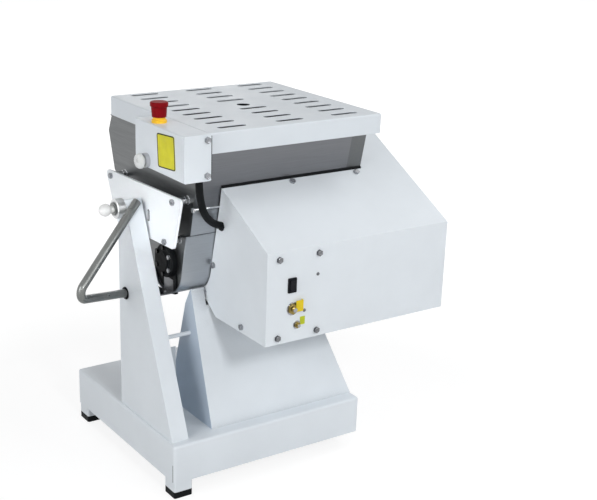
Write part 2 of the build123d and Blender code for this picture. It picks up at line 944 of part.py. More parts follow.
# Bolts of both bearings, and of the drive plate on the bowl's right end
drive_bolt_places = [
    (base_front + drive_bolt_behind_front, trough_z + drive_bolt_spread),
    (base_front + drive_bolt_behind_front, trough_z - drive_bolt_spread),
]
with BuildPart() as bearing_bolts:
    for places, seat_x, outward, grip in (
        (left_bearing_bolts, bowl_x0 - bearing_thick, -1, bearing_thick),
        (right_bearing_bolts, bowl_x1 + right_bearing_thick, 1, right_bearing_thick),
        (drive_bolt_places, bowl_x1 + drive_plate_thick, 1, drive_plate_thick),
    ):
        bolts = bolts_along_x(
            places, seat_x, outward, bearing_bolt_head, bearing_bolt_high, bearing_bolt_radius, grip
        )
        add(bolts.part)
save(bearing_bolts, "bearing_bolts")

# Shaft seals inside the trough
with BuildPart() as shaft_seals:
    for seal_x in (bowl_x0 + end_plate, bowl_x1 - end_plate - seal_thick):
        with BuildSketch(at_x(seal_x)):
            with Locations(trough_centre):
                Circle(shaft_radius + seal_wall)
                Circle(shaft_radius + running_play, mode=Mode.SUBTRACT)
        extrude(amount=seal_thick)
save(shaft_seals, "shaft_seals")

# Agitator: a shaft with paddle arms, each a quarter turn on from the one before
with BuildPart() as agitator_shaft:
    with BuildSketch(at_x(shaft_x0)):
        with Locations(trough_centre):
            Circle(shaft_radius)
    extrude(amount=shaft_x1 - shaft_x0)
save(agitator_shaft, "agitator_shaft")

arm_reach = trough_radius - bowl_sheet - arm_tip_gap
arm_room = bowl_length - 2 * end_plate - 2 * seal_thick
arm_pitch = arm_room / arm_count
with BuildPart() as agitator_arms:
    for step in range(arm_count):
        arm_x = bowl_x0 + end_plate + seal_thick + arm_pitch * (step + 0.5)
        turn = arm_turn * step
        arm_plane = Plane((arm_x, trough_y, trough_z), x_dir=(1, 0, 0), z_dir=(0, 0, 1)).rotated((turn, 0, 0))
        with BuildSketch(at_x(arm_x - arm_hub_length / 2)):
            with Locations(trough_centre):
                Circle(shaft_radius + arm_hub_wall)
        extrude(amount=arm_hub_length)
        with BuildSketch(arm_plane):
            Rectangle(arm_width, arm_thick)
        extrude(amount=arm_reach - arm_blade_thick / 2)
        with BuildSketch(arm_plane.offset(arm_reach - arm_blade_thick)):
            RectangleRounded(arm_blade_length, arm_width, arm_thick / 2)
        extrude(amount=arm_blade_thick)
    with BuildSketch(at_x(bowl_x0)):
        with Locations(trough_centre):
            Circle(shaft_radius)
    extrude(amount=bowl_length, mode=Mode.SUBTRACT)
save(agitator_arms, "agitator_arms")

# Lid: a folded tray turned over, with rows of slots and a centre hole
lid_middle = ((lid_x0 + lid_x1) / 2, (lid_y0 + lid_y1) / 2)
lid_length = lid_x1 - lid_x0
lid_depth = lid_y1 - lid_y0
with BuildPart() as lid:
    with BuildSketch(at_z(lid_bottom)):
        with Locations(lid_middle):
            RectangleRounded(lid_length, lid_depth, lid_corner)
    extrude(amount=lid_height)
    fillet(lid.faces().sort_by(Axis.Z)[-1].edges(), radius=lid_corner - lid_sheet)
    with BuildSketch(at_z(lid_bottom)):
        with Locations(lid_middle):
            RectangleRounded(lid_length - 2 * lid_sheet, lid_depth - 2 * lid_sheet, lid_corner - lid_sheet)
    extrude(amount=lid_height - lid_sheet, mode=Mode.SUBTRACT)
    with BuildSketch(at_z(lid_top)):
        with Locations(lid_middle):
            with Locations((0, slot_rows_back)):
                with GridLocations(slot_column_pitch, slot_row_pitch, slot_columns, slot_rows):
                    SlotOverall(slot_length, slot_width)
            Rectangle(slot_length + slot_width, slot_row_pitch, mode=Mode.SUBTRACT)
            Circle(lid_hole_radius)
    extrude(amount=-2 * lid_sheet, mode=Mode.SUBTRACT)
save(lid, "lid")

# Lid hinges: lugs on the lid, ears on the rim frame, and headed pins
knuckle_half = hinge_knuckle / 2
with BuildPart() as lid_lugs:
    for centre_x in hinge_centres:
        with BuildSketch(at_x(centre_x - knuckle_half)):
            with Locations((hinge_y, hinge_z)):
                Circle(hinge_radius)
            with Locations((lid_y1, hinge_z - hinge_radius)):
                Rectangle(hinge_behind_lid, 2 * hinge_radius, align=Align.MIN)
            with Locations((hinge_y, hinge_z)):
                Circle(hinge_pin_radius + running_play, mode=Mode.SUBTRACT)
        extrude(amount=hinge_knuckle)
save(lid_lugs, "lid_lugs")

ear_height = hinge_z - rim_top
with BuildPart() as hinge_ears:
    for centre_x in hinge_centres:
        for ear_x in (centre_x - knuckle_half - side_play - hinge_ear, centre_x + knuckle_half + side_play):
            with BuildSketch(at_x(ear_x)):
                with Locations((hinge_y, hinge_z)):
                    Circle(hinge_radius)
                with Locations((hinge_y - hinge_radius, rim_top)):
                    Rectangle(2 * hinge_radius, ear_height, align=Align.MIN)
                with Locations((hinge_y, hinge_z)):
                    Circle(hinge_pin_radius, mode=Mode.SUBTRACT)
            extrude(amount=hinge_ear)
save(hinge_ears, "hinge_ears")

pin_half = knuckle_half + side_play + hinge_ear
with BuildPart() as hinge_pins:
    for centre_x in hinge_centres:
        with BuildSketch(at_x(centre_x - pin_half)):
            with Locations((hinge_y, hinge_z)):
                Circle(hinge_pin_radius)
        extrude(amount=2 * pin_half)
        with BuildSketch(at_x(centre_x + pin_half)):
            with Locations((hinge_y, hinge_z)):
                Circle(hinge_pin_head_radius)
        extrude(amount=hinge_pin_head)
save(hinge_pins, "hinge_pins")

# Control box beside the lid: a sheet box with a front cover, two spacers and a plain tag
with BuildPart() as control_box:
    with BuildSketch(at_z(box_bottom)):
        with Locations((box_x0, box_y0)):
            Rectangle(box_width, box_depth, align=Align.MIN)
    extrude(amount=box_height)
    fillet(control_box.edges().filter_by(Axis.Y), radius=box_edge)
    with BuildSketch(at_z(box_bottom + box_sheet)):
        with Locations((box_x0 + box_sheet, box_y0)):
            Rectangle(box_width - 2 * box_sheet, box_depth - box_sheet, align=Align.MIN)
    extrude(amount=box_height - 2 * box_sheet, mode=Mode.SUBTRACT)
    with Locations((stop_x, stop_y, box_top - 2 * box_sheet)):
        Cylinder(stop_stem_radius + side_play, 3 * box_sheet, align=UPWARD, mode=Mode.SUBTRACT)
    with Locations((conduit_x, conduit_y, box_bottom - box_sheet)):
        Cylinder(conduit_radius, 3 * box_sheet, align=UPWARD, mode=Mode.SUBTRACT)
    with Locations((box_x0 + 2 * box_sheet, start_y, start_z)):
        Cylinder(
            start_stem_radius + side_play, 3 * box_sheet, rotation=AGAINST_X, align=UPWARD, mode=Mode.SUBTRACT
        )
save(control_box, "control_box")

box_screw_x = box_x1 - box_screw_inset
box_screw_heights = (box_bottom + box_screw_rise, box_top - box_screw_rise)
with BuildPart() as box_front_cover:
    with BuildSketch(at_y(box_y0)):
        with Locations((box_x0 + box_width / 2, box_bottom + box_height / 2)):
            RectangleRounded(box_width, box_height, box_edge)
        with Locations(*[(box_screw_x, height) for height in box_screw_heights]):
            Circle(screw_radius, mode=Mode.SUBTRACT)
    extrude(amount=box_sheet)
save(box_front_cover, "box_front_cover")

with BuildPart() as box_spacers:
    for spacer_y in (box_y0 + box_spacer_front, box_y1 - box_spacer_rear):
        with Locations((box_x1, spacer_y, box_bottom + box_spacer_rise)):
            Cylinder(box_spacer_radius, bowl_x0 - box_x1, rotation=ALONG_X, align=UPWARD)
save(box_spacers, "box_spacers")

with BuildPart() as box_tag:
    with BuildSketch(at_x(box_x0)):
        with Locations((box_y0 + tag_back, box_bottom + tag_rise)):
            Rectangle(tag_width, tag_height, align=Align.MIN)
    extrude(amount=-tag_thick)
save(box_tag, "box_tag")

# Emergency stop: ring with a neck on the box, and a mushroom head whose skirt goes down over the neck
stop_neck_radius = stop_stem_radius - side_play + stop_neck_wall
stop_skirt_radius = stop_neck_radius + side_play
with BuildPart() as stop_ring:
    with BuildSketch(at_z(box_top)):
        with Locations((stop_x, stop_y)):
            Circle(stop_ring_radius)
            Circle(stop_stem_radius - side_play, mode=Mode.SUBTRACT)
    extrude(amount=stop_ring_high)
    chamfer(stop_ring.faces().sort_by(Axis.Z)[-1].edges().sort_by(SortBy.LENGTH)[-1], box_sheet)
    with BuildSketch(at_z(box_top + stop_ring_high)):
        with Locations((stop_x, stop_y)):
            Circle(stop_neck_radius)
            Circle(stop_stem_radius - side_play, mode=Mode.SUBTRACT)
    extrude(amount=stop_gap + stop_neck_high)
save(stop_ring, "stop_ring")

stop_stem_inner = stop_stem_radius - 2 * side_play
stop_low = stop_ring_high + stop_gap
stop_head_top = stop_low + stop_head_high
stop_neck = stop_head_top - stop_cap_high
stop_ceiling = stop_low + stop_neck_high + stop_gap + side_play
with BuildPart() as stop_button:
    with BuildSketch(Plane((stop_x, stop_y, box_top), x_dir=(1, 0, 0), z_dir=(0, -1, 0))):
        with BuildLine():
            Polyline(
                (stop_head_radius - stop_round, stop_head_top),
                (0, stop_head_top),
                (0, -box_sheet),
                (stop_stem_inner, -box_sheet),
                (stop_stem_inner, stop_ceiling),
                (stop_skirt_radius, stop_ceiling),
                (stop_skirt_radius, stop_low),
                (stop_body_radius - box_sheet, stop_low),
                (stop_body_radius, stop_neck),
                (stop_head_radius, stop_neck + stop_round),
                (stop_head_radius, stop_head_top - stop_round),
            )
            JernArc((stop_head_radius, stop_head_top - stop_round), (0, 1), stop_round, 90)
        make_face()
    revolve(axis=Axis((stop_x, stop_y, 0), (0, 0, 1)))
save(stop_button, "stop_button")

# Start button: ring on the box's left face, and a domed cap on a stem
start_stem_inner = start_stem_radius - 2 * side_play
start_cap_x = box_x0 - start_ring_thick - start_gap
with BuildPart() as start_ring:
    with BuildSketch(at_x(box_x0 - start_ring_thick)):
        with Locations((start_y, start_z)):
            Circle(start_ring_radius)
            Circle(start_stem_radius - side_play, mode=Mode.SUBTRACT)
    extrude(amount=start_ring_thick)
    chamfer(start_ring.faces().sort_by(Axis.X)[0].edges().sort_by(SortBy.LENGTH)[-1], box_sheet)
save(start_ring, "start_ring")

with BuildPart() as start_button:
    with BuildSketch(at_x(start_cap_x - start_cap_thick)):
        with Locations((start_y, start_z)):
            Circle(start_cap_radius)
    extrude(amount=start_cap_thick)
    fillet(start_button.faces().sort_by(Axis.X)[0].edges(), radius=start_dome)
    with BuildSketch(at_x(start_cap_x)):
        with Locations((start_y, start_z)):
            Circle(start_stem_inner)
    extrude(amount=box_x0 + box_sheet - start_cap_x)
save(start_button, "start_button")

# Contact blocks behind the two push buttons, each with room for the stem's travel
with BuildPart() as contact_blocks:
    with Locations((stop_x, stop_y, box_top - box_sheet)):
        Box(stop_block, stop_block, stop_block_high, align=DOWNWARD)
        Cylinder(stop_stem_radius, box_sheet + stop_gap, align=DOWNWARD, mode=Mode.SUBTRACT)
    with Locations((box_x0 + box_sheet, start_y, start_z)):
        Box(start_block_long, start_block, start_block, align=RIGHTWARD)
        Cylinder(
            start_stem_radius, box_sheet + start_gap, rotation=ALONG_X, align=UPWARD, mode=Mode.SUBTRACT
        )
save(contact_blocks, "contact_blocks")

# Conduit from the control box down to the drive cover, with a gland at each end
conduit_end_y = base_front + conduit_entry_behind_front
conduit_points = [
    (conduit_x, conduit_y, box_bottom + conduit_tail),
    (conduit_x, conduit_y, conduit_bend_z),
    (cover_x0 - conduit_straight, conduit_end_y, conduit_entry_z),
    (cover_x0 + conduit_tail, conduit_end_y, conduit_entry_z),
]
with BuildPart() as conduit:
    with BuildLine() as conduit_path:
        FilletPolyline(*conduit_points, radius=[conduit_top_bend, conduit_low_bend])
    with BuildSketch(Plane(conduit_points[0], z_dir=(0, 0, -1))):
        Circle(conduit_radius)
    sweep()
save(conduit, "conduit")

with BuildPart() as conduit_glands:
    with BuildSketch(at_z(box_bottom)):
        with Locations((conduit_x, conduit_y)):
            RegularPolygon(gland_radius, 6)
            Circle(conduit_radius, mode=Mode.SUBTRACT)
    extrude(amount=-gland_thick)
    with BuildSketch(at_x(cover_x0)):
        with Locations((conduit_end_y, conduit_entry_z)):
            RegularPolygon(gland_radius, 6)
            Circle(conduit_radius, mode=Mode.SUBTRACT)
    extrude(amount=-gland_thick)
save(conduit_glands, "conduit_glands")

# Drive cover: a sheet hood in front of the bowl, which widens into a deep box round the belt on the right
cover_tan = math.tan(math.radians(cover_slope))
cover_lip_y = base_front + cover_lip_behind_front
cover_waist = (base_front + cover_waist_behind_front, cover_waist_z)
cover_arc_radius = trough_radius + cover_trough_gap
cover_arc_stop = math.radians(180 + cover_arc_end)
cover_arc_half = math.radians(180 + cover_arc_end / 2)
cover_arc_points = [
    (trough_y + cover_arc_radius * math.cos(turn), trough_z + cover_arc_radius * math.sin(turn))
    for turn in (math.pi, cover_arc_half, cover_arc_stop)
]
cover_floor_y = base_front + cover_floor_behind_front
side_top_y = base_front + cover_side_top_behind
side_rear_y = base_front + cover_side_rear_behind


def slope_z(y, inset):
    """Height of the cover's sloped top at y, moved inwards by inset."""
    return cover_front_top + cover_tan * (y - cover_y0) - inset / math.cos(math.radians(cover_slope))


cover_screw_sides = [
    (cover_x0, base_front + behind, height)
    for behind, height in (
        (side_screw_high_behind, side_screw_high_z),
        (side_screw_low_behind, side_screw_low_z),
        (side_screw_front_behind, side_screw_front_z),
    )
]
top_screw_y = cover_lip_y - top_screw_inset
cover_screw_tops = [
    (base_left + run, top_screw_y, slope_z(top_screw_y, 0)) for run in (top_screw_left, top_screw_right)
]
slope_turn = math.radians(cover_slope)
slope_up = (0, -math.sin(slope_turn), math.cos(slope_turn))
panel_bolt_places = [
    (base_left + panel_bolt_x + column * panel_bolt_pitch_x, panel_bolt_z + row * panel_bolt_pitch_z)
    for column in range(2)
    for row in range(2)
]
rocker_place = (base_left + rocker_x, rocker_z)
stud_places = [(base_left + stud_one_x, stud_one_z), (base_left + stud_two_x, stud_two_z)]
hole_places = [(base_left + hole_one_x, hole_one_z), (base_left + hole_two_x, hole_two_z)]
housing_width = rocker_width + 2 * housing_wall
housing_height = rocker_height + 2 * housing_wall
side_inner_y = side_rear_y - cover_sheet
side_inner_top = slope_z(side_top_y, 0) - cover_sheet
side_bend_y = side_top_y + cover_sheet * math.tan(slope_turn / 2)

with BuildPart() as drive_cover:
    with BuildSketch(at_x(cover_x0)):
        with BuildLine():
            Polyline(
                cover_arc_points[2],
                (cover_floor_y, cover_bottom),
                (cover_y0, cover_bottom),
                (cover_y0, cover_front_top),
                (cover_lip_y, slope_z(cover_lip_y, 0)),
                cover_waist,
                cover_arc_points[0],
            )
            ThreePointArc(*cover_arc_points)
        make_face()
    extrude(amount=side_x0 - cover_x0)
    with BuildSketch(at_x(side_x0)):
        Polygon(
            (cover_y0, cover_bottom),
            (cover_y0, cover_front_top),
            (side_top_y, slope_z(side_top_y, 0)),
            (side_rear_y, slope_z(side_top_y, 0)),
            (side_rear_y, cover_bottom),
            align=None,
        )
    extrude(amount=cover_x1 - side_x0)
    with BuildSketch(at_x(cover_x0 + cover_sheet)):
        Polygon(
            (cover_y0 + cover_sheet, cover_bottom + cover_sheet),
            (cover_y0 + cover_sheet, slope_z(cover_y0 + cover_sheet, cover_sheet)),
            (side_top_y, slope_z(side_top_y, cover_sheet)),
            (side_top_y, cover_bottom + cover_sheet),
            align=None,
        )
    extrude(amount=cover_x1 - cover_x0 - 2 * cover_sheet, mode=Mode.SUBTRACT)
    with BuildSketch(at_x(side_x0)):
        Polygon(
            (cover_lip_y, cover_bottom + cover_sheet),
            (cover_lip_y, slope_z(cover_lip_y, cover_sheet)),
            (side_bend_y, side_inner_top),
            (side_inner_y, side_inner_top),
            (side_inner_y, cover_bottom + cover_sheet),
            align=None,
        )
    extrude(amount=cover_x1 - side_x0 - cover_sheet, mode=Mode.SUBTRACT)
    for place in cover_screw_sides:
        with BuildSketch(Plane(place, z_dir=(1, 0, 0))):
            Circle(screw_radius)
        extrude(amount=cover_sheet, mode=Mode.SUBTRACT)
    for place in cover_screw_tops:
        with BuildSketch(Plane(place, z_dir=slope_up)):
            Circle(screw_radius)
        extrude(amount=-cover_sheet, mode=Mode.SUBTRACT)
    with BuildSketch(at_x(cover_x0)):
        with Locations((conduit_end_y, conduit_entry_z)):
            Circle(conduit_radius)
    extrude(amount=cover_sheet, mode=Mode.SUBTRACT)
    with BuildSketch(at_y(cover_y0)):
        with Locations(rocker_place):
            Rectangle(housing_width, housing_height)
        with Locations(*stud_places):
            Circle(stud_shank)
        with Locations(*panel_bolt_places):
            Circle(screw_radius)
        with Locations(*hole_places):
            Circle(hole_radius)
    extrude(amount=-cover_sheet, mode=Mode.SUBTRACT)
save(drive_cover, "drive_cover")

# Screws of the covers: three in the drive cover's left side, two along its top edge, two in the control box
box_screw_places = [(box_screw_x, box_y0 - box_sheet, height) for height in box_screw_heights]
with BuildPart() as cover_screws:
    add(cover_screws_at(box_screw_places, (0, -1, 0)).part)
    add(cover_screws_at(cover_screw_sides, (-1, 0, 0)).part)
    add(cover_screws_at(cover_screw_tops, slope_up).part)
save(cover_screws, "cover_screws")

# Control plate behind the cover's front, held by four bolts
plate_y = cover_y0 + cover_sheet
with BuildPart() as control_plate:
    with BuildSketch(at_y(plate_y)):
        with Locations((base_left + panel_bolt_x - panel_plate_margin, panel_bolt_z - panel_plate_margin)):
            Rectangle(
                panel_bolt_pitch_x + 2 * panel_plate_margin,
                panel_bolt_pitch_z + 2 * panel_plate_margin,
                align=Align.MIN,
            )
        with Locations(rocker_place):
            Rectangle(housing_width, housing_height, mode=Mode.SUBTRACT)
        with Locations(*stud_places):
            Circle(stud_shank, mode=Mode.SUBTRACT)
        with Locations(*panel_bolt_places):
            Circle(screw_radius, mode=Mode.SUBTRACT)
    extrude(amount=-panel_plate_sheet)
save(control_plate, "control_plate")

panel_bolt_seats = [(x, cover_y0, z) for x, z in panel_bolt_places]
panel_bolts = cover_screws_at(panel_bolt_seats, (0, -1, 0))
save(panel_bolts, "panel_bolts")

# Rocker switch: a housing through the cover's front, and a rocker that tips about a level axis
rocker_axis_y = cover_y0 - rocker_axis_out
bezel_width = rocker_width + 2 * rocker_bezel
bezel_height = rocker_height + 2 * rocker_bezel
with BuildPart() as rocker_housing:
    with BuildSketch(at_y(cover_y0)):
        with Locations(rocker_place):
            RectangleRounded(bezel_width, bezel_height, rocker_bezel / 2)
    extrude(amount=rocker_bezel_thick)
    with BuildSketch(at_y(cover_y0)):
        with Locations(rocker_place):
            Rectangle(housing_width, housing_height)
    extrude(amount=-rocker_body_depth)
    with BuildSketch(at_y(cover_y0 - rocker_bezel_thick)):
        with Locations(rocker_place):
            Rectangle(rocker_width, rocker_height)
    extrude(amount=-rocker_bezel_thick - rocker_body_depth + housing_wall, mode=Mode.SUBTRACT)
save(rocker_housing, "rocker_housing")

rocker_round = rocker_height / 2 - rocker_end_play
rocker_tip = math.sqrt(rocker_round**2 - rocker_tip_out**2)
with BuildPart() as rocker:
    with BuildSketch(at_x(rocker_place[0] - rocker_width / 2 + rocker_side_play)):
        with BuildLine():
            Polyline(
                (rocker_axis_y - rocker_tip_out, rocker_z + rocker_tip),
                (rocker_axis_y - rocker_dip_out, rocker_z),
                (rocker_axis_y - rocker_tip_out, rocker_z - rocker_tip),
            )
            ThreePointArc(
                (rocker_axis_y - rocker_tip_out, rocker_z - rocker_tip),
                (rocker_axis_y + rocker_round, rocker_z),
                (rocker_axis_y - rocker_tip_out, rocker_z + rocker_tip),
            )
        make_face()
    extrude(amount=rocker_width - 2 * rocker_side_play)
save(rocker, "rocker")

# Brass earthing studs on the cover's front, each with a thin plain tag beside it
stud_sizes = [(stud_big_radius, stud_big_reach), (stud_small_radius, stud_small_reach)]
with BuildPart() as brass_studs:
    for place, (radius, reach) in zip(stud_places, stud_sizes):
        with BuildSketch(at_y(cover_y0)):
            with Locations(place):
                RegularPolygon(radius + stud_flange_extra, 6)
        extrude(amount=stud_flange_thick)
        with BuildSketch(at_y(cover_y0)):
            with Locations(place):
                Circle(radius)
        extrude(amount=reach)
        with BuildSketch(at_y(cover_y0)):
            with Locations(place):
                Circle(stud_shank)
        extrude(amount=-cover_sheet - panel_plate_sheet)
save(brass_studs, "brass_studs")

with BuildPart() as stud_tags:
    with BuildSketch(at_y(cover_y0)):
        with Locations((base_left + tag_one_x, tag_one_z)):
            Rectangle(tag_one_wide, tag_one_high)
        with Locations((base_left + tag_two_x, tag_two_z)):
            Rectangle(tag_two_wide, tag_two_high)
    extrude(amount=stud_tag_thick)
save(stud_tags, "stud_tags")

# Drive plate: bolted to the bowl's right end, it reaches forward to carry the gearmotor
tray_z = cover_bottom + cover_sheet + tray_gap
tray_top = tray_z + tray_sheet
drive_front_y = cover_y0 + drive_front_gap
drive_chest_y = base_front + drive_chest_behind_front
drive_rear_y = base_front + drive_rear_behind_front
with BuildPart() as drive_plate:
    with BuildSketch(at_x(bowl_x1)):
        Polygon(
            (drive_front_y, tray_z),
            (base_front + tray_rear_behind_front, tray_z),
            (base_front + drive_waist_behind_front, drive_low_z),
            (drive_rear_y, drive_low_z),
            (drive_rear_y, drive_high_z),
            (drive_chest_y, drive_chest_z),
            (drive_front_y, drive_front_z),
            align=None,
        )
        with Locations(trough_centre):
            Circle(right_bearing_radius + bearing_room, mode=Mode.SUBTRACT)
        with Locations((motor_y, motor_axis_z)):
            Circle(output_radius + bearing_room, mode=Mode.SUBTRACT)
        with Locations(*drive_bolt_places):
            Circle(bearing_bolt_radius, mode=Mode.SUBTRACT)
    extrude(amount=drive_plate_thick)
save(drive_plate, "drive_plate")

# Tray under the gearmotor, welded to the drive plate
tray_x0 = cover_x0 + cover_sheet + tray_end_gap
with BuildPart() as drive_tray:
    with BuildSketch(at_z(tray_z)):
        with Locations((tray_x0, drive_front_y)):
            Rectangle(
                bowl_x1 - tray_x0, base_front + tray_rear_behind_front - drive_front_y, align=Align.MIN
            )
    extrude(amount=tray_sheet)
save(drive_tray, "drive_tray")

# Gearmotor: round motor and square gearbox, standing on the tray and against the drive plate
gearbox_x0 = bowl_x1 - gearbox_length
with BuildPart() as gearmotor:
    with BuildSketch(at_x(gearbox_x0)):
        with Locations((motor_y, motor_axis_z)):
            RectangleRounded(2 * gearbox_half, 2 * gearbox_half, gearbox_foot)
    extrude(amount=gearbox_length)
    with BuildSketch(at_x(gearbox_x0 - motor_length)):
        with Locations((motor_y, motor_axis_z)):
            Circle(motor_radius)
    extrude(amount=motor_length)
    fillet(gearmotor.faces().sort_by(Axis.X)[0].edges(), radius=gearbox_foot / 2)
    with BuildSketch(at_z(tray_top)):
        with Locations((gearbox_x0 + gearbox_length / 2, motor_y)):
            Rectangle(gearbox_length - 2 * gearbox_foot, 2 * gearbox_half)
    extrude(amount=motor_axis_z - tray_top - gearbox_half / 2)
    with BuildSketch(at_x(bowl_x1)):
        with Locations((motor_y, motor_axis_z)):
            Circle(output_radius + running_play)
    extrude(amount=-output_inside - side_play, mode=Mode.SUBTRACT)
save(gearmotor, "gearmotor")

with BuildPart() as output_shaft:
    with BuildSketch(at_x(bowl_x1 - output_inside)):
        with Locations((motor_y, motor_axis_z)):
            Circle(output_radius)
    extrude(amount=shaft_x1 - bowl_x1 + output_inside)
save(output_shaft, "output_shaft")


def flanged_pulley(centre, radius, bore):
    """Belt pulley with a flange on each side of the belt's track."""
    with BuildPart() as pulley:
        with BuildSketch(at_x(pulley_x)):
            with Locations(centre):
                Circle(radius + pulley_flange_high)
        extrude(amount=pulley_flange)
        with BuildSketch(at_x(pulley_x + pulley_flange)):
            with Locations(centre):
                Circle(radius)
        extrude(amount=pulley_width)
        with BuildSketch(at_x(pulley_x + pulley_flange + pulley_width)):
            with Locations(centre):
                Circle(radius + pulley_flange_high)
        extrude(amount=pulley_flange)
        with BuildSketch(at_x(pulley_x)):
            with Locations(centre):
                Circle(bore)
        extrude(amount=pulley_width + 2 * pulley_flange, mode=Mode.SUBTRACT)
    return pulley


motor_centre = (motor_y, motor_axis_z)
motor_pulley = flanged_pulley(motor_centre, motor_pulley_radius, output_radius)
save(motor_pulley, "motor_pulley")
driven_pulley = flanged_pulley(trough_centre, driven_pulley_radius, shaft_radius)
save(driven_pulley, "driven_pulley")

# Belt round the two pulleys
with BuildPart() as drive_belt:
    with BuildSketch(at_x(pulley_x + pulley_flange + belt_side_gap)):
        with Locations(motor_centre):
            Circle(motor_pulley_radius + belt_gap + belt_thick)
        with Locations(trough_centre):
            Circle(driven_pulley_radius + belt_gap + belt_thick)
        make_hull()
    extrude(amount=pulley_width - 2 * belt_side_gap)
    with BuildSketch(at_x(pulley_x + pulley_flange)):
        with Locations(motor_centre):
            Circle(motor_pulley_radius + belt_gap)
        with Locations(trough_centre):
            Circle(driven_pulley_radius + belt_gap)
        make_hull()
    extrude(amount=pulley_width, mode=Mode.SUBTRACT)
save(drive_belt, "drive_belt")
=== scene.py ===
import math

import bmesh
import bpy
from mathutils import Matrix, Vector


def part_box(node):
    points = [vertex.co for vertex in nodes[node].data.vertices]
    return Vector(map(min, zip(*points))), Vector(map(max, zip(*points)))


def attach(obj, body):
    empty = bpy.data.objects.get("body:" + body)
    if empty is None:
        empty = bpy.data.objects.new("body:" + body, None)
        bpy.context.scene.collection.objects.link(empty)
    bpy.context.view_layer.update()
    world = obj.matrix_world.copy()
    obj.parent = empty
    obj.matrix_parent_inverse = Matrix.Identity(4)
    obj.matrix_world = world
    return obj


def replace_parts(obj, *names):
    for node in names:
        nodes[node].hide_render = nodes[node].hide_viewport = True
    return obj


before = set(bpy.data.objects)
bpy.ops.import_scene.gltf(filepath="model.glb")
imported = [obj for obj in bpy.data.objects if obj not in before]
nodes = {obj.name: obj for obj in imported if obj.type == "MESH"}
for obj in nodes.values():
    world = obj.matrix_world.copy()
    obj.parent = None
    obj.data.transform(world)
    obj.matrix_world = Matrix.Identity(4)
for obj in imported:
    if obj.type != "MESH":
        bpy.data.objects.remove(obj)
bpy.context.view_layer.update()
scene = bpy.context.scene

# Camera, worked out from the level edges in the photograph; the picture's sizes are in pixels
PICTURE_WIDTH, PICTURE_HEIGHT = 597, 500
FOCAL_LENGTH = 1173.3
CENTRE_X, CENTRE_Y = 273.9, 288.6
SENSOR_WIDTH = 36.0
FAR_CLIP = 50.0
base_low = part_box("base_pan")[0]
corner = Vector((base_low[0], base_low[1], 0.0))
eye = corner + Vector((-1.1625, -2.0889, 1.3941))
right = Vector((0.8313, -0.5552, 0.0266)).normalized()
forward = Vector((0.5294, 0.7763, -0.3422)).normalized()
up = right.cross(forward).normalized()
right = forward.cross(up).normalized()
camera_data = bpy.data.cameras.new("camera")
camera_data.sensor_width = SENSOR_WIDTH
camera_data.lens = FOCAL_LENGTH * SENSOR_WIDTH / PICTURE_WIDTH
camera_data.shift_x = (PICTURE_WIDTH / 2 - CENTRE_X) / PICTURE_WIDTH
camera_data.shift_y = (CENTRE_Y - PICTURE_HEIGHT / 2) / PICTURE_WIDTH
camera_data.clip_end = FAR_CLIP
camera = bpy.data.objects.new("camera", camera_data)
camera.matrix_world = Matrix.Translation(eye) @ Matrix((right, up, -forward)).transposed().to_4x4()
scene.collection.objects.link(camera)
scene.camera = camera


